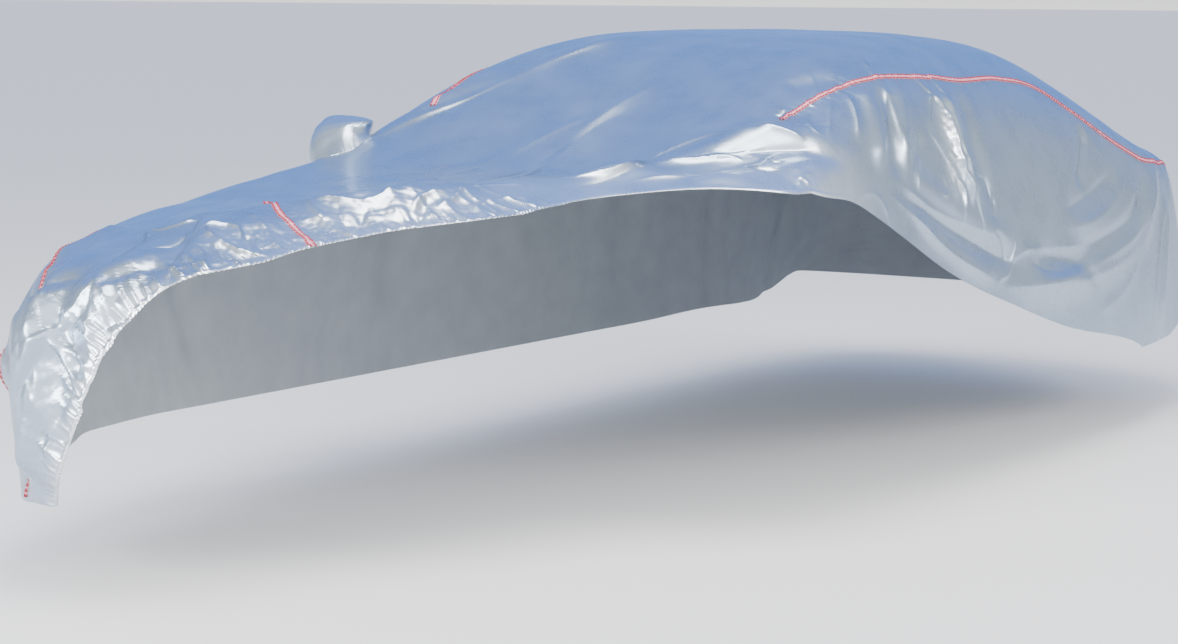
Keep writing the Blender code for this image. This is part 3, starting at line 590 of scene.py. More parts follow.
def gathers(along, across):
    """The elastic's gathers: ridges square to the hem, each of its own height and width, in four
    sizes of which the larger start and end further back from the hem, which stays even. The
    elastic's channel is a low round rim."""
    run, behind = beside_hem(along, across)
    behind = np.clip(behind, 0, None)
    drawn = ramp(along, *CHANNEL_FADE[::-1])
    strength = np.maximum(ramp(along, *GATHERS_FADE[::-1]), SMOOTH_SHARE * drawn)
    total = np.zeros(along.shape)
    for size, (pitch, tall, reach, sharp) in enumerate(GATHERS):
        lean = run + GATHER_LEAN * behind * wander(run, 3 * pitch, 40 + size)
        place = lean / pitch + 0.9 * wander(lean, 2.3 * pitch, 50 + size)
        ridge = 2 * (1 - np.abs(np.sin(np.pi * place))) ** sharp - 0.5
        own = 0.6 + 0.4 * wander(lean, pitch, 60 + size)
        long = reach * (1 + 0.5 * wander(lean, pitch, 65 + size))
        shape = smooth_step(behind / (0.35 * reach)) * np.exp(-behind / long)
        total += tall * own * ridge * (shape if size else np.exp(-behind / long))
    rim = CHANNEL_HEIGHT * np.sin(np.pi * np.clip(behind / CHANNEL, 0, 1))
    return total * strength + rim * drawn


PUCKER_PITCH, PUCKER_HEIGHT, PUCKER_REACH = 0.036, 0.0016, 0.035  # at the roof seams


def puckers(along, across):
    """Small ridges square to the roof seams, where the thread draws the cloth in: a wave along the
    seam, of uneven pitch and height, that falls as exp(-distance / reach)."""
    total = np.zeros(along.shape)
    for side, seed in ((1, 71), (-1, 81)):
        off = across * side - table_at(ROOF_SEAM, along)
        own = 0.5 + 0.5 * wander(along, 0.11, seed)
        place = along / PUCKER_PITCH + 1.2 * wander(along, 0.09, seed + 1)
        ridge = 1 - 2 * np.abs(np.sin(np.pi * place))
        tall = PUCKER_HEIGHT * own * ramp(along, SEAM_START - 0.10, SEAM_START + 0.02)
        total += tall * ridge * np.exp(-np.abs(off) / PUCKER_REACH)
    return total


STREAK_ALONG, STREAK_SWAY, STREAK_WIDE = 3.35, 0.03, 0.040  # place, and half widths


def streak(along, across):
    """1 in the crinkled streak down the left side, 0 away from it: a bell over a swaying line."""
    off = along - STREAK_ALONG - STREAK_SWAY * np.sin(9 * across)
    bell = np.exp(-((off / STREAK_WIDE) ** 2))
    return bell * ramp(across, 0.84, 0.92) * ramp(across, 1.24, 1.16)


def crumpled(along, across):
    """How crumpled the cloth is, 0 to 1: fully in the strip behind the front hem as far as the
    crest of the roll, less behind it, not at the hem, on the flap or past the middle of the deck,
    and little on the shelf above the pleats of the nose. Also in the streak, and a little in a
    patch ahead of the left side."""
    _, behind = beside_hem(along, across)
    strip = ramp(behind, 0.01, 0.08) * ramp(behind, 0.40, 0.20) * ramp(along, 1.75, 1.35)
    shelf = ramp(along, 0.56, 0.62) * ramp(along, 0.86, 0.76) * ramp(behind, 0.10, 0.20)
    flap = ramp(across, -0.43, -0.48) * ramp(along, 0.70, 0.55)
    patch = np.exp(-(((along - 2.36) / 0.09) ** 2) - ((across - 0.70) / 0.13) ** 2)
    strip *= (1 - 0.75 * shelf) * (1 - flap)
    return np.clip(strip + 0.9 * streak(along, across) + 0.35 * patch, 0, 1)


# reach of the painted highlight, the whiter base colour behind the front hem
HIGHLIGHT_REACH = 0.022  # behind the hem


def painted_highlight(along, across):
    """How far the base colour is painted white as a painted highlight, 0 to 1: fully on the gathers at the
    front hem, where it falls as exp(-distance behind it), and about half in the strip behind it and in the
    streak."""
    _, behind = beside_hem(along, across)
    hem = (1 - 0.6 * ramp(along, *GATHERS_FADE)) * ramp(along, 2.80, 2.40)
    hem *= np.exp(-np.clip(behind, 0, None) / HIGHLIGHT_REACH)
    pale = ramp(behind, 0.28, 0.10) * ramp(along, 0.75, 0.90) * ramp(along, 2.80, 2.55)
    return np.clip(hem + 0.5 * streak(along, across) + 0.45 * pale, 0.0, 1.0)


BROAD_FACETS, MIDDLE_FACETS, FINE_FACETS, SLACK_FACETS = 0.135, 0.062, 0.027, 0.26  # pitches
SLACK_HEIGHT = 0.0012


def fine_height(along, across):
    """Everything that stands on the soft folds: creases, crests, gathers and puckers, facets in
    three sizes where the cloth is crumpled, and slack waves and wide facets everywhere."""
    total = line_folds(CREASES, along, across, pinched=True) + crests(along, across)
    total += gathers(along, across) + puckers(along, across)
    amount = crumpled(along, across)
    broad = 0.0130 - 0.0060 * ramp(along, 0.70, 1.20)
    fine = 0.0011 + 0.0014 * streak(along, across)
    total += amount * broad * facets(along, across, BROAD_FACETS, 11)
    total += amount * 0.0036 * facets(along, across, MIDDLE_FACETS, 23)
    total += amount * fine * facets(along, across, FINE_FACETS, 29)
    slack = np.sin(2.1 * along + 1.3 * np.sin(1.7 * across)) * np.sin(3.1 * across + 0.8 * along)
    return total + SLACK_HEIGHT * (slack + facets(along, across, SLACK_FACETS, 37))


def cloth_points(along, across, lift=0.0):
    """Points of the cloth's outer face: the form, moved out along its normals by all the folds and
    by lift."""
    height = line_folds(FOLDS, along, across, pinched=False) + roll(along, across)
    height = height + fine_height(along, across) + lift
    normals = read_form(FORM_NORMALS, along, across)
    normals /= np.linalg.norm(normals, axis=-1, keepdims=True)
    return read_form(FORM_POINTS, along, across) + normals * height[..., None], normals


def cloth_normals(along, across, nudge=0.003):
    """Outward normals of the folded cloth, from points a nudge off in each direction."""
    ahead = cloth_points(along + nudge, across)[0] - cloth_points(along - nudge, across)[0]
    aside = cloth_points(along, across + nudge)[0] - cloth_points(along, across - nudge)[0]
    normals = np.cross(aside, ahead)
    return normals / np.linalg.norm(normals, axis=-1, keepdims=True)


def node(tree, kind, links=(), **settings):
    """Adds a node. settings names its properties, or its sockets as in_NAME; links pairs a socket
    of the node with the output that feeds it."""
    made = tree.nodes.new(kind)
    for name, value in settings.items():
        if name.startswith("in_"):
            made.inputs[name[3:].replace("_", " ")].default_value = value
        else:
            setattr(made, name, value)
    for name, source in links:
        tree.links.new(source, made.inputs[name])
    return made


def srgb(code):
    """A colour given as sRGB hex, as linear red, green, blue and alpha."""
    channels = [int(code[i : i + 2], 16) / 255 for i in (1, 3, 5)]
    return (*[c / 12.92 if c <= 0.04045 else ((c + 0.055) / 1.055) ** 2.4 for c in channels], 1.0)


def new_material(name):
    """A new material, its node tree and its shader."""
    material = bpy.data.materials.new(name)
    material.use_nodes = True
    return material, material.node_tree, material.node_tree.nodes["Principled BSDF"]


WEAVE_SCALE = 265.26  # of a wave texture whose bands are 1.2 mm apart


def silver_taffeta():
    """Polyester taffeta with a rolled-on silver coating: a satin metal look with a faint weave, and
    fine wrinkles that the coating keeps, deeper where the cloth is crumpled. On the gathers, in the
    crumpled strip, in the streak and a little on the pouch the base colour is painted whiter: a painted
    highlight."""
    material, tree, shader = new_material("silver_taffeta")
    place = node(tree, "ShaderNodeUVMap", uv_map="cloth")
    highlight_paint = node(tree, "ShaderNodeAttribute", attribute_name="painted_highlight")
    crumple = node(tree, "ShaderNodeAttribute", attribute_name="crumpled")
    mottle = node(
        tree, "ShaderNodeTexNoise", [("Vector", place.outputs["UV"])],
        in_Scale=7.0, in_Detail=4.0, in_Roughness=0.55,
    )  # fmt: skip
    # base colour from cool silver to near white where the painted highlight attribute is high: a painted
    # highlight
    base = node(
        tree, "ShaderNodeMix", [("Factor", highlight_paint.outputs["Fac"])],
        data_type="RGBA", in_A=srgb("#A6B5C6"), in_B=srgb("#E2E8EE"),
    )  # fmt: skip
    cloudy = node(
        tree, "ShaderNodeMapRange", [("Value", mottle.outputs["Fac"])],
        in_From_Min=0.3, in_From_Max=0.7, in_To_Min=0.94, in_To_Max=1.04,
    )  # fmt: skip
    tinted = node(
        tree, "ShaderNodeVectorMath",
        [("Vector", base.outputs["Result"]), ("Scale", cloudy.outputs["Result"])],
        operation="SCALE",
    )  # fmt: skip
    tree.links.new(tinted.outputs["Vector"], shader.inputs["Base Color"])
    rough = node(
        tree, "ShaderNodeMapRange", [("Value", mottle.outputs["Fac"])],
        in_From_Min=0.3, in_From_Max=0.7, in_To_Min=0.25, in_To_Max=0.32,
    )  # fmt: skip
    tree.links.new(rough.outputs["Result"], shader.inputs["Roughness"])
    shader.inputs["Metallic"].default_value = 0.90
    # wrinkles from 12 mm down to 3 mm wide, and a weave drawn coarser than its 0.2 mm threads
    wrinkle = node(
        tree, "ShaderNodeTexNoise", [("Vector", place.outputs["UV"])],
        in_Scale=85.0, in_Detail=2.0, in_Roughness=0.5, in_Distortion=0.6,
    )  # fmt: skip
    strength = node(
        tree, "ShaderNodeMapRange", [("Value", crumple.outputs["Fac"])],
        in_To_Min=0.05, in_To_Max=0.08,
    )  # fmt: skip
    wrinkled = node(
        tree, "ShaderNodeBump",
        [("Height", wrinkle.outputs["Fac"]), ("Strength", strength.outputs["Result"])],
        in_Distance=0.003,
    )  # fmt: skip
    threads = [
        node(
            tree, "ShaderNodeTexWave", [("Vector", place.outputs["UV"])],
            bands_direction=way, in_Scale=WEAVE_SCALE, in_Distortion=0.0,
        )
        for way in ("X", "Y")
    ]  # fmt: skip
    weave = node(
        tree, "ShaderNodeMath",
        [(0, threads[0].outputs["Fac"]), (1, threads[1].outputs["Fac"])], operation="ADD",
    )  # fmt: skip
    woven = node(
        tree, "ShaderNodeBump",
        [("Height", weave.outputs["Value"]), ("Normal", wrinkled.outputs["Normal"])],
        in_Strength=0.05, in_Distance=0.0002,
    )  # fmt: skip
    tree.links.new(woven.outputs["Normal"], shader.inputs["Normal"])
    return material


def taffeta_back():
    """The inner face, which has no coating: bare grey polyester, matt."""
    material, tree, shader = new_material("bare_taffeta_back")
    place = node(tree, "ShaderNodeUVMap", uv_map="cloth")
    mottle = node(
        tree, "ShaderNodeTexNoise", [("Vector", place.outputs["UV"])], in_Scale=9.0, in_Detail=5.0,
    )  # fmt: skip
    shade = node(
        tree, "ShaderNodeMix", [("Factor", mottle.outputs["Fac"])],
        data_type="RGBA", in_A=srgb("#8B929A"), in_B=srgb("#A2A9B0"),
    )  # fmt: skip
    tree.links.new(shade.outputs["Result"], shader.inputs["Base Color"])
    shader.inputs["Roughness"].default_value = 0.72
    wrinkle = node(
        tree, "ShaderNodeTexNoise", [("Vector", place.outputs["UV"])], in_Scale=60.0, in_Detail=3.0,
    )  # fmt: skip
    bump = node(
        tree, "ShaderNodeBump", [("Height", wrinkle.outputs["Fac"])],
        in_Strength=0.25, in_Distance=0.003,
    )  # fmt: skip
    tree.links.new(bump.outputs["Normal"], shader.inputs["Normal"])
    return material


SILVER = silver_taffeta()
BACK = taffeta_back()


def cloth_mesh(
    name, along, across, kept=None, lift=0.0, thickness=SHEET_THICKNESS, faces=(SILVER, BACK)
):
    """A closed sheet over a grid of places: an outer face, an inner face a thickness behind it, and
    a wall round every edge. Its inner face takes the last material of faces. kept says which cells
    the sheet has."""
    outer, form = cloth_points(along, across, lift)
    inner = outer - form * thickness
    folded = cloth_normals(along, across)
    rows, columns = along.shape
    numbers = np.arange(rows * columns).reshape(rows, columns)
    cells = np.stack([numbers[:-1, :-1], numbers[:-1, 1:], numbers[1:, 1:], numbers[1:, :-1]], axis=2)
    cells = cells[kept] if kept is not None else cells.reshape(-1, 4)
    used, cells = np.unique(cells, return_inverse=True)
    cells = cells.reshape(-1, 4)
    count = len(used)
    edges = np.concatenate([np.stack([cells[:, i], cells[:, (i + 1) % 4]], 1) for i in range(4)])
    keys = edges[:, 0].astype(np.int64) * count + edges[:, 1]
    back_keys = edges[:, 1].astype(np.int64) * count + edges[:, 0]
    border = edges[~np.isin(back_keys, keys)]
    walls = np.stack(
        [border[:, 1], border[:, 0], border[:, 0] + count, border[:, 1] + count], axis=1
    )
    quads = np.concatenate([cells, walls, cells[:, ::-1] + count])
    points = np.concatenate([outer.reshape(-1, 3)[used], inner.reshape(-1, 3)[used]])
    normals = np.concatenate([folded.reshape(-1, 3)[used], -folded.reshape(-1, 3)[used]])
    spots = np.stack([along.ravel()[used], across.ravel()[used]], axis=1)
    mesh = bpy.data.meshes.new(name)
    mesh.vertices.add(len(points))
    mesh.vertices.foreach_set("co", points.ravel())
    mesh.loops.add(quads.size)
    mesh.loops.foreach_set("vertex_index", quads.ravel())
    mesh.polygons.add(len(quads))
    mesh.polygons.foreach_set("loop_start", np.arange(0, quads.size, 4))
    mesh.polygons.foreach_set("loop_total", np.full(len(quads), 4))
    mesh.update(calc_edges=True)
    for material in faces:
        mesh.materials.append(material)
    slots = np.zeros(len(quads), np.int32)
    slots[len(cells) + len(walls) :] = len(faces) - 1
    mesh.polygons.foreach_set("material_index", slots)
    uv = np.tile(spots, (2, 1))[quads.ravel()]
    mesh.uv_layers.new(name="cloth").data.foreach_set("uv", uv.ravel())
    # crumpled deepens the wrinkle bumps; the second attribute is a painted highlight that whitens the base
    # colour
    for attribute, amount in (("crumpled", crumpled), ("painted_highlight", painted_highlight)):
        values = np.tile(amount(along, across).ravel()[used], 2)
        mesh.attributes.new(attribute, "FLOAT", "POINT").data.foreach_set("value", values)
    mesh.shade_smooth()
    mesh.normals_split_custom_set_from_vertices(normals)
    mesh.validate()
    return linked(name, mesh)


def placed(made, panel):
    """The calls that every cloth piece needs: its body and the panel it stands for."""
    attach(made, "root")
    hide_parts(panel)


def between(rows, first, last, part):
    """Places on the cloth in rows at these distances along, each with places across at these parts
    of the way from first to last."""
    along = np.repeat(rows[:, None], len(part), axis=1)
    return along, first[:, None] + (last - first)[:, None] * part[None, :]


STRIP_WIDTHS = ((0.00, 0.55), (0.70, 0.55), (1.00, 0.40), (2.60, 0.36))  # along, width
STRIP_SHARE = 0.80  # of the cloth's width, where the nose is narrower than the strip
GATHERED_WIDTH = 0.080  # behind the hem, divided finely enough for the gathers


def strip_width(along):
    """The width of the finely divided strip behind the front hem."""
    narrow = STRIP_SHARE * (left_hem(along) + full_drop(along))
    return np.minimum(table_at(STRIP_WIDTHS, along), narrow)


# the cloth behind the front hem: its gathered edge, the crumpled roll, and the smooth hem after it,
# with columns that are closer towards the hem
HEM_CLOSER = 1.3  # power of the columns' spacing
for name, first, last, row_count, column_count, outside, inside, flat, area, held in (
    ("gathered_hem", 0.0, GATHERS_FADE[1], 640, 22, 0.0, GATHERED_WIDTH, (0.10, 2.10), 0.17, "gathered"),
    ("crumpled_roll", 0.0, GATHERS_FADE[1], 300, 84, GATHERED_WIDTH, None, (0.60, 1.95), 0.72, "gathered"),
    ("smooth_hem", GATHERS_FADE[1], SEAM_START, 130, 68, 0.0, None, (0.38, 0.92), 0.24, "stretched"),
):
    rows = np.linspace(first, last, row_count + 1)
    widths = strip_width(rows) if inside is None else np.full(len(rows), inside)
    part = np.linspace(1.0, 0.0, column_count + 1) ** HEM_CLOSER
    along, across = between(rows, left_hem(rows) - outside, left_hem(rows) - widths, part)
    hem_strip = cloth_mesh("top_panel_" + name, along, across)
    placed(hem_strip, "top_panel")

# the rest of the front, from the right hem to that strip, with the hole of the mirror pouch; its
# columns are closer on top than down the right side
POUCH_CENTRE = (2.40, -0.940)
POUCH_HALF = (0.100, 0.126)  # of its hole, along and across
DECK_SIDE = 0.32  # of the way from the right hem, where the columns turn closer
rows = np.linspace(0.0, SEAM_START, 300)
part = np.concatenate([np.linspace(0.0, DECK_SIDE, 36)[:-1], np.linspace(DECK_SIDE, 1.0, 115)])
along, across = between(rows, -full_drop(rows), left_hem(rows) - strip_width(rows), part)
middle_along = (along[1:, 1:] + along[:-1, :-1]) / 2 - POUCH_CENTRE[0]
middle_across = (across[1:, 1:] + across[:-1, :-1]) / 2 - POUCH_CENTRE[1]
hole = (np.abs(middle_along) < POUCH_HALF[0]) & (np.abs(middle_across) < POUCH_HALF[1])
deck = cloth_mesh("top_panel_front_deck", along, across, kept=~hole)
placed(deck, "top_panel")

# front slope, roof, rear slope, rear deck and tail, with its rows closer on the front slope
SLOPE_END = 3.50  # along
rows = np.concatenate(
    [np.linspace(SEAM_START, SLOPE_END, 111)[:-1], np.linspace(SLOPE_END, LENGTH, 190)]
)
seam = table_at(ROOF_SEAM, rows)
along, across = between(rows, -seam, seam, np.linspace(0.0, 1.0, 141))
roof = cloth_mesh("top_panel_roof", along, across)
placed(roof, "top_panel")

# ============================================================================ left side panel
# The left side below the roof seam, of the same taffeta. Its front part is pulled up with the
# peeled corner, so the hem runs down towards the tail, and the slack hangs in swags.
SEAM_GAP = 0.0003
SWAGS_FROM = 3.80  # along, ahead of which the rows are closer for the crinkled streak
rows = np.concatenate(
    [np.linspace(SEAM_START + SEAM_GAP, SWAGS_FROM, 241)[:-1], np.linspace(SWAGS_FROM, LENGTH, 186)]
)
seam = table_at(ROOF_SEAM, rows) + SEAM_GAP
along, across = between(rows, seam, left_hem(rows), np.linspace(0.0, 1.0, 109))
left_side = cloth_mesh("left_side_panel_cloth", along, across)
placed(left_side, "left_side_panel")

# =========================================================================== right side panel
# The right side below its roof seam, full length. It hangs to the same height all along.
rows = np.linspace(SEAM_START + SEAM_GAP, LENGTH, 256)
seam = -table_at(ROOF_SEAM, rows) - SEAM_GAP
along, across = between(rows, -full_drop(rows), seam, np.linspace(0.0, 1.0, 65))
right_side = cloth_mesh("right_side_panel_cloth", along, across)
placed(right_side, "right_side_panel")

# ========================================================================= right mirror pouch
# A bag of the same taffeta, sewn over a hole at the front of the right side. It stands up from the
# side and is a little slack.
POUCH_TURN = 12.0  # from the cover's length, in degrees
POUCH_RINGS = (
    # up the bag, centre x, y, z, half length, half width, lean in degrees
    (0.34, -0.915, 0.935, 1.030, 0.098, 0.112, 40.0),
    (0.54, -0.938, 0.958, 1.070, 0.100, 0.115, 28.0),
    (0.72, -0.941, 0.976, 1.108, 0.096, 0.110, 15.0),
    (0.86, -0.938, 0.988, 1.134, 0.080, 0.094, 6.0),
    (0.95, -0.933, 0.994, 1.150, 0.048, 0.060, -4.0),
)
POUCH_TOP_RISE = 0.004
POUCH_FOOT = 0.012  # of the bag's sewn edge past its hole
POUCH_LIFT = 0.0012  # of that edge off the panel
POUCH_THICKNESS = 0.0015
FOOT_CORNERS = 0.5  # power of the rounded rectangle, where 1 is an oval
# the pouch's crumpling, and its share of the painted highlight, a whiter base colour all over it
POUCH_CRUMPLED, POUCH_HIGHLIGHT = 0.35, 0.15  # all over it


def ring_directions(lean):
    """The directions of a pouch ring's axis, length and width."""
    turn, lean = np.radians([POUCH_TURN, lean])
    length_way = np.array([np.sin(turn), np.cos(turn), 0.0])
    outward = np.array([-np.cos(turn), np.sin(turn), 0.0])
    axis = outward * np.sin(lean) + np.array([0.0, 0.0, np.cos(lean)])
    return axis, length_way, np.cross(length_way, axis)


def pouch_surface(around, up):
    """Points of the pouch: ovals at the table's rings, joined up the bag by a smooth curve from the
    edge of its hole, where it is a rounded rectangle on the panel, to its top."""
    cosine, sine = np.cos(around[0]), np.sin(around[0])
    foot = []
    for centre, half, wave in zip(POUCH_CENTRE, POUCH_HALF, (cosine, sine)):
        foot.append(centre + (half + POUCH_FOOT) * np.sign(wave) * np.abs(wave) ** FOOT_CORNERS)
    rings = [cloth_points(*foot, lift=POUCH_LIFT)[0]]
    for _, x, y, z, half_length, half_width, lean in POUCH_RINGS:
        _, length_way, width_way = ring_directions(lean)
        reach = np.outer(cosine, length_way) * half_length + np.outer(sine, width_way) * half_width
        rings.append(np.array([x, y, z]) - ROOF_REST + reach)
    axis, _, _ = ring_directions(POUCH_RINGS[-1][-1])
    tip = np.array(POUCH_RINGS[-1][1:4]) - ROOF_REST + axis * POUCH_TOP_RISE
    rings.append(np.repeat(tip[None, :], len(cosine), axis=0))
    knots = np.array([0.0, *[ring[0] for ring in POUCH_RINGS], 1.0])
    stacked = np.stack(rings).reshape(len(knots), -1)
    return curve_through(knots, stacked, up[:, 0]).reshape(*around.shape, 3)


def outward(points):
    """Normals of a surface of rings whose last column is the first again, away from its middle."""
    ahead = np.gradient(points, axis=0)
    aside = np.gradient(points, axis=1)
    aside[:, 0] = aside[:, -1] = points[:, 1] - points[:, -2]
    normals = np.cross(aside, ahead)
    normals /= np.linalg.norm(normals, axis=2, keepdims=True)
    inward = (normals * (points - points.mean(axis=(0, 1)))).sum() < 0
    return -normals if inward else normals


def pouch_slack(around, up):
    """Creases all over the bag, deepest at half its height, and puckers that fall as exp(-height)
    from its sewn foot. Both fade out where the last column meets the first."""
    creases = 0.0022 * facets(0.16 * around, 0.30 * up, 0.110, 91) * np.sin(np.pi * up) ** 0.7
    ridge = 1 - 2 * np.abs(np.sin(13 * around + 2 * np.sin(3 * around)))
    drawn = 0.0018 * ridge * np.exp(-up / 0.12) * np.minimum(up / 0.03, 1)
    return (creases + drawn) * smooth_step(np.minimum(around, 2 * np.pi - around) / 0.3)


def closed_bag(name, outer, normals, places, thickness, faces):
    """A closed bag of cloth from rings: the last ring is capped, the last column is the first
    again, and a wall joins the outer and the inner face round the mouth. places are the two
    measures over its cloth, in metres."""
    rings, spots = outer.shape[0], outer.shape[1] - 1
    outside = outer[:, :-1].reshape(-1, 3)
    inside = (outer - normals * thickness)[:, :-1].reshape(-1, 3)
    count = len(outside)
    ring, spot = np.meshgrid(np.arange(rings - 1), np.arange(spots), indexing="ij")
    beside = (spot + 1) % spots
    quads = np.stack(
        [ring * spots + spot, ring * spots + beside, (ring + 1) * spots + beside,
         (ring + 1) * spots + spot], axis=2,
    ).reshape(-1, 4)  # fmt: skip
    first = np.arange(spots)
    walls = np.stack(
        [(first + 1) % spots, first, first + count, (first + 1) % spots + count], axis=1
    )
    last = (rings - 1) * spots + first
    polygons = quads.tolist() + walls.tolist() + [last.tolist()]
    polygons += (quads[:, ::-1] + count).tolist() + [(last[::-1] + count).tolist()]
    mesh = bpy.data.meshes.new(name)
    mesh.from_pydata(np.concatenate([outside, inside]), [], polygons)
    for material in faces:
        mesh.materials.append(material)
    slots = np.zeros(len(polygons), np.int32)
    slots[len(quads) + len(walls) + 1 :] = len(faces) - 1
    mesh.polygons.foreach_set("material_index", slots)
    indices = np.empty(len(mesh.loops), np.int32)
    mesh.loops.foreach_get("vertex_index", indices)
    flat = np.stack([measure[:, :-1].ravel() for measure in places], axis=1)
    mesh.uv_layers.new(name="cloth").data.foreach_set("uv", np.tile(flat, (2, 1))[indices].ravel())
    # the second attribute is a painted highlight that whitens the base colour
    for attribute, value in (("crumpled", POUCH_CRUMPLED), ("painted_highlight", POUCH_HIGHLIGHT)):
        mesh.attributes.new(attribute, "FLOAT", "POINT").data.foreach_set(
            "value", np.full(2 * count, value)
        )
    mesh.shade_smooth()
    return linked(name, mesh)


POUCH_SPOTS, POUCH_ROWS = 120, 72
POUCH_CAP = 0.985  # of the way up, where the last ring is capped
PER_TURN, PER_HEIGHT = 0.11, 0.30  # metres of cloth for each radian, and for the whole height
around, up = np.meshgrid(
    np.linspace(0, 2 * np.pi, POUCH_SPOTS + 1), POUCH_CAP * np.linspace(0, 1, POUCH_ROWS + 1) ** 0.9
)
outer = pouch_surface(around, up)
normals = outward(outer)
outer = outer + normals * pouch_slack(around, up)[..., None]
places = (PER_TURN * around, PER_HEIGHT * up)
pouch = closed_bag(
    "right_mirror_pouch_cloth", outer, normals, places, POUCH_THICKNESS, (SILVER, BACK)
)
placed(pouch, "right_mirror_pouch")

# ================================================================================ red seams
# The seams are folded flat and sewn down with two rows of red thread. The fold is a low band, dyed
# pink by the thread, and each stitch is a short dash of thread that stands on it.
SEAM_BAND = 0.0200  # width of the folded seam
BAND_LIFT = 0.0012  # of its middle, over its edges
BAND_FOOT = 0.0006  # of its edges, over the cloth
BAND_THICKNESS = 0.0010
BAND_STEP, BAND_COLUMNS = 0.0060, 6  # between its rows, and across it
STITCH_PITCH = 0.0140  # drawn longer than the real 5 mm, so that each dash shows
STITCH_LENGTH = 0.0120
STITCH_SIDE = 0.0070  # of each row from the middle of the band
STITCH_FOOT, STITCH_ARCH = 0.0016, 0.0009  # height of a dash's ends, and of its middle over them
THREAD = 0.0027  # half the thread's width
THREAD_TAPER = (0.35, 0.90, 1.00, 0.90, 0.35)  # of that, along a dash
THREAD_FLAT = 0.8  # of its width, the thread's height
THREAD_SIDES = 6
PATH_POINTS = 2000  # on the smooth curve of a seam
FRONT_DART = ((1.00, 0.100), (1.06, 0.020), (1.085, -0.030), (1.12, -0.100), (1.25, -0.25), (1.39, -0.400))
CORNER_DART = (
    (0.02, -0.62), (0.14, -0.62), (0.27, -0.60), (0.38, -0.60), (0.47, -0.61),
    (0.60, -0.66), (0.70, -0.70), (0.80, -0.72), (0.92, -0.735),
)  # fmt: skip


def cloth_path(points, step):
    """Places along and across at equal steps on a smooth curve through points, and the direction
    to the side at each."""
    points = np.array(points)
    knots = run_over(points)
    dense = curve_through(knots, points, np.linspace(0, knots[-1], PATH_POINTS))
    run = run_over(dense)
    places = np.arange(0, run[-1], step)
    path = np.stack([np.interp(places, run, dense[:, i]) for i in range(2)], axis=1)
    ahead = np.gradient(path, axis=0)
    ahead /= np.linalg.norm(ahead, axis=1, keepdims=True)
    return path, np.stack([-ahead[:, 1], ahead[:, 0]], axis=1)


def thread_material():
    """Polyester sewing thread, dyed dark red, with a soft gloss and a twist that shows as fine
    slanting bands."""
    material, tree, shader = new_material("red_polyester_thread")
    place = node(tree, "ShaderNodeTexCoord")
    twist = node(
        tree, "ShaderNodeTexWave", [("Vector", place.outputs["Object"])],
        bands_direction="DIAGONAL", in_Scale=320.0, in_Distortion=1.0,
    )  # fmt: skip
    shade = node(
        tree, "ShaderNodeMix", [("Factor", twist.outputs["Fac"])],
        data_type="RGBA", in_A=srgb("#6E0012"), in_B=srgb("#A00620"),
    )  # fmt: skip
    tree.links.new(shade.outputs["Result"], shader.inputs["Base Color"])
    shader.inputs["Roughness"].default_value = 0.55
    return material


def band_material():
    """The folded seam: coated taffeta tinted pink by the red thread that is drawn through it."""
    material, tree, shader = new_material("seam_band_taffeta")
    place = node(tree, "ShaderNodeUVMap", uv_map="cloth")
    mottle = node(
        tree, "ShaderNodeTexNoise", [("Vector", place.outputs["UV"])], in_Scale=160.0, in_Detail=3.0,
    )  # fmt: skip
    shade = node(
        tree, "ShaderNodeMix", [("Factor", mottle.outputs["Fac"])],
        data_type="RGBA", in_A=srgb("#D27A8E"), in_B=srgb("#E6A6B5"),
    )  # fmt: skip
    tree.links.new(shade.outputs["Result"], shader.inputs["Base Color"])
    shader.inputs["Roughness"].default_value = 0.5
    shader.inputs["Metallic"].default_value = 0.25
    bump = node(
        tree, "ShaderNodeBump", [("Height", mottle.outputs["Fac"])],
        in_Strength=0.4, in_Distance=0.001,
    )  # fmt: skip
    tree.links.new(bump.outputs["Normal"], shader.inputs["Normal"])
    return material


THREAD_RED = thread_material()
BAND_PINK = band_material()


def seam_band(name, points):
    """The folded seam as a thin closed strip on the cloth, along a path. Across it the strip rises
    as 1 - x^4 from its edges to its middle."""
    path, side = cloth_path(points, BAND_STEP)
    part = np.linspace(-0.5, 0.5, BAND_COLUMNS + 1) * SEAM_BAND
    along = path[:, None, 0] + side[:, None, 0] * part[None, :]
    across = path[:, None, 1] + side[:, None, 1] * part[None, :]
    crown = BAND_LIFT * (1 - (2 * part / SEAM_BAND) ** 4)
    lift = np.broadcast_to(BAND_FOOT + crown[None, :], along.shape)
    return cloth_mesh(name, along, across, lift=lift, thickness=BAND_THICKNESS, faces=(BAND_PINK,))


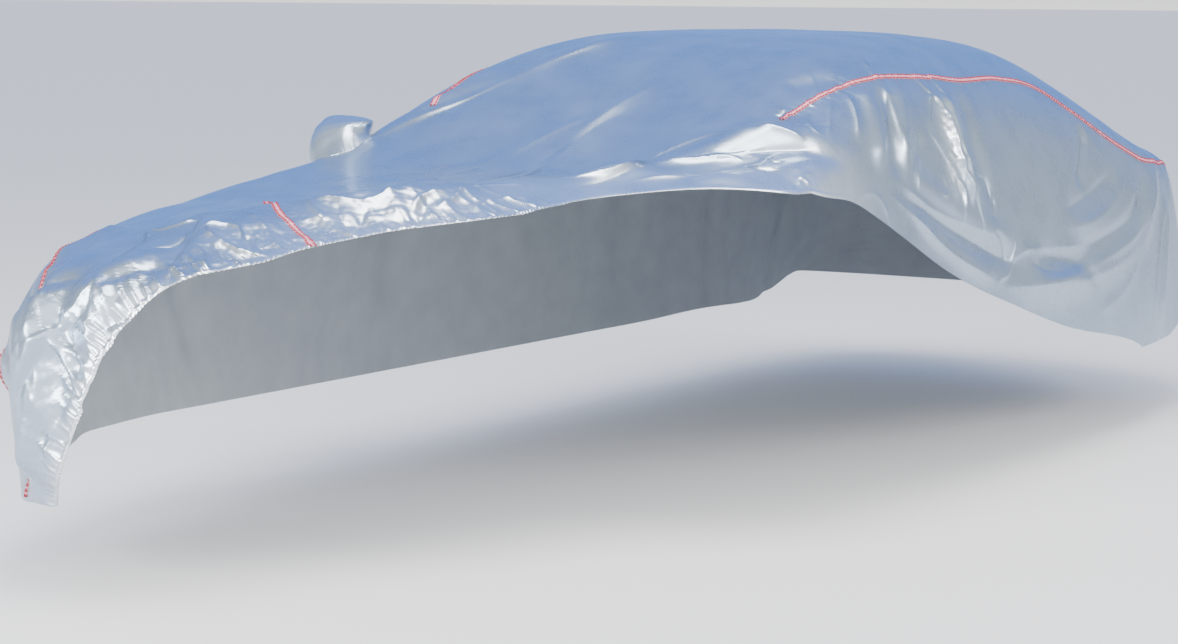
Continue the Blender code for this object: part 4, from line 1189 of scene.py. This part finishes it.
def stitches(name, points):
    """Two rows of dashes on a seam. Each dash is a six-sided thread, thinner at its ends, that
    arches over the cloth as 1 - x^2."""
    path, side = cloth_path(points, STITCH_PITCH)
    step = np.gradient(path, axis=0)
    step /= np.linalg.norm(step, axis=1, keepdims=True)
    centres = np.concatenate([path + side * STITCH_SIDE, path - side * STITCH_SIDE])
    step = np.tile(step, (2, 1))
    part = np.linspace(-0.5, 0.5, len(THREAD_TAPER))
    along = centres[:, None, 0] + step[:, None, 0] * part * STITCH_LENGTH
    across = centres[:, None, 1] + step[:, None, 1] * part * STITCH_LENGTH
    arch = STITCH_FOOT + STITCH_ARCH * (1 - (2 * part) ** 2)
    points, normals = cloth_points(along, across, lift=np.broadcast_to(arch, along.shape))
    run = np.gradient(points, axis=1)
    run /= np.linalg.norm(run, axis=2, keepdims=True)
    beside = np.cross(normals, run)
    thick = THREAD * np.array(THREAD_TAPER)
    turned = np.arange(THREAD_SIDES) * 2 * np.pi / THREAD_SIDES
    ring = np.cos(turned)[None, None, :, None] * beside[:, :, None]
    ring = ring + np.sin(turned)[None, None, :, None] * normals[:, :, None] * THREAD_FLAT
    mesh_points = points[:, :, None] + ring * thick[None, :, None, None]
    count, rings = points.shape[:2]
    base = (np.arange(count) * rings * THREAD_SIDES)[:, None, None, None]
    level = base + (np.arange(rings - 1) * THREAD_SIDES)[None, :, None, None]
    spot = np.arange(THREAD_SIDES)[None, None, :, None]
    next_spot = (spot + 1) % THREAD_SIDES
    next_level = level + THREAD_SIDES
    quads = np.concatenate(
        [level + spot, level + next_spot, next_level + next_spot, next_level + spot], axis=3
    ).reshape(-1, 4)
    ends = base[:, 0, 0] + np.arange(THREAD_SIDES)[None, ::-1]
    tips = base[:, 0, 0] + (rings - 1) * THREAD_SIDES + np.arange(THREAD_SIDES)[None, :]
    mesh = bpy.data.meshes.new(name)
    mesh.from_pydata(mesh_points.reshape(-1, 3), [], quads.tolist() + ends.tolist() + tips.tolist())
    mesh.materials.append(THREAD_RED)
    mesh.shade_smooth()
    made = linked(name, mesh)
    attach(made, "root")


seam_rows = np.linspace(SEAM_START + 0.02, LENGTH - 0.01, 60)
left_seam = np.stack([seam_rows, table_at(ROOF_SEAM, seam_rows)], axis=1)
for name, path in (
    ("left_roof_seam", left_seam),
    ("right_roof_seam", left_seam * (1, -1)),
    ("front_deck_dart", FRONT_DART),
    ("nose_corner_dart", CORNER_DART),
):
    band = seam_band(name + "_band", path)
    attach(band, "root")
    stitches(name + "_stitches", path)

# ============================================================================= floor and light
# A plain pale floor under the cover, with a low wall of the same paint where it would meet the sky.
# Soft light comes from large panels overhead, ahead of the nose's right and beside the left side,
# and from a surround that is pale behind the camera and blue high up ahead of it.
FLOOR_DROP = -ROOF_REST[2]  # the ground, below the roof
FLOOR_HALF = 1500.0
WALL_MIDDLE = np.array([-767.0, 1170.0, FLOOR_DROP])
WALL_HALF, WALL_HEIGHT = 900.0, 16.0

paint, _, shader = new_material("pale_floor")
shader.inputs["Base Color"].default_value = srgb("#DADADA")
shader.inputs["Roughness"].default_value = 0.9
shader.inputs["Emission Color"].default_value = srgb("#FFFFFF")
shader.inputs["Emission Strength"].default_value = 0.05


def painted_sheet(name, middle, first_way, second_way):
    """A flat sheet of the floor's paint, which reaches both ways from its middle."""
    mesh = bpy.data.meshes.new(name)
    turns = ((-1, -1), (1, -1), (1, 1), (-1, 1))
    corners = [middle + first * first_way + second * second_way for first, second in turns]
    mesh.from_pydata(corners, [], [(0, 1, 2, 3)])
    mesh.materials.append(paint)
    linked(name, mesh)


wall_up = np.array([0.0, 0.0, WALL_HEIGHT / 2])
wall_way = np.array([WALL_MIDDLE[1], -WALL_MIDDLE[0], 0.0]) / np.hypot(*WALL_MIDDLE[:2]) * WALL_HALF
painted_sheet("floor", np.array([0, 0, FLOOR_DROP]), *(FLOOR_HALF * np.eye(3)[:2]))
painted_sheet("far_wall", WALL_MIDDLE + wall_up, wall_way, wall_up)

AWAY_FROM_CAMERA = (-0.466, 0.708, 0.530)
SURROUND = (
    # share of the way from the side behind the camera (0) to the side ahead of it (1), colour
    (0.44, "#FFFFFF"),
    (0.60, "#90949A"),
    (0.80, "#7F858C"),
    (0.93, "#3F6AAC"),
)

world = bpy.data.worlds.new("surround")
world.use_nodes = True
look = node(world.node_tree, "ShaderNodeTexCoord")
facing = node(
    world.node_tree, "ShaderNodeVectorMath", [(0, look.outputs["Generated"])],
    operation="DOT_PRODUCT",
)  # fmt: skip
facing.inputs[1].default_value = AWAY_FROM_CAMERA
share = node(
    world.node_tree, "ShaderNodeMapRange", [("Value", facing.outputs["Value"])],
    in_From_Min=-1.0, in_From_Max=1.0,
)  # fmt: skip
blend = node(world.node_tree, "ShaderNodeValToRGB", [("Fac", share.outputs["Result"])])
blend.color_ramp.elements[0].position = SURROUND[0][0]
blend.color_ramp.elements[0].color = srgb(SURROUND[0][1])
blend.color_ramp.elements[1].position = SURROUND[-1][0]
blend.color_ramp.elements[1].color = srgb(SURROUND[-1][1])
for place, colour in SURROUND[1:-1]:
    blend.color_ramp.elements.new(place).color = srgb(colour)
background = world.node_tree.nodes["Background"]
world.node_tree.links.new(blend.outputs["Color"], background.inputs["Color"])
background.inputs["Strength"].default_value = 3.0
bpy.context.scene.world = world


def soft_light(name, place, aim, size, power, colour):
    """A square area light at a place, turned to face a point."""
    light = bpy.data.lights.new(name, "AREA")
    light.shape = "SQUARE"
    light.size = size
    light.energy = power
    light.color = srgb(colour)[:3]
    made = linked(name, light)
    made.location = place
    away = np.array(place) - np.array(aim)
    away /= np.linalg.norm(away)
    made.rotation_euler = (np.arccos(away[2]), 0.0, np.arctan2(away[1], away[0]) + np.pi / 2)


soft_light("overhead_light", (1.0, -2.0, 6.0), (0.0, -0.8, 0.0), 4.0, 650.0, "#FFFBF5")
soft_light("front_light", (-1.9, -8.2, 0.9), (-0.3, -2.6, -0.7), 3.2, 600.0, "#FFFDFA")
soft_light("side_light", (7.5, 0.0, 2.8), (0.6, 0.3, -0.6), 2.5, 350.0, "#FFFBF6")
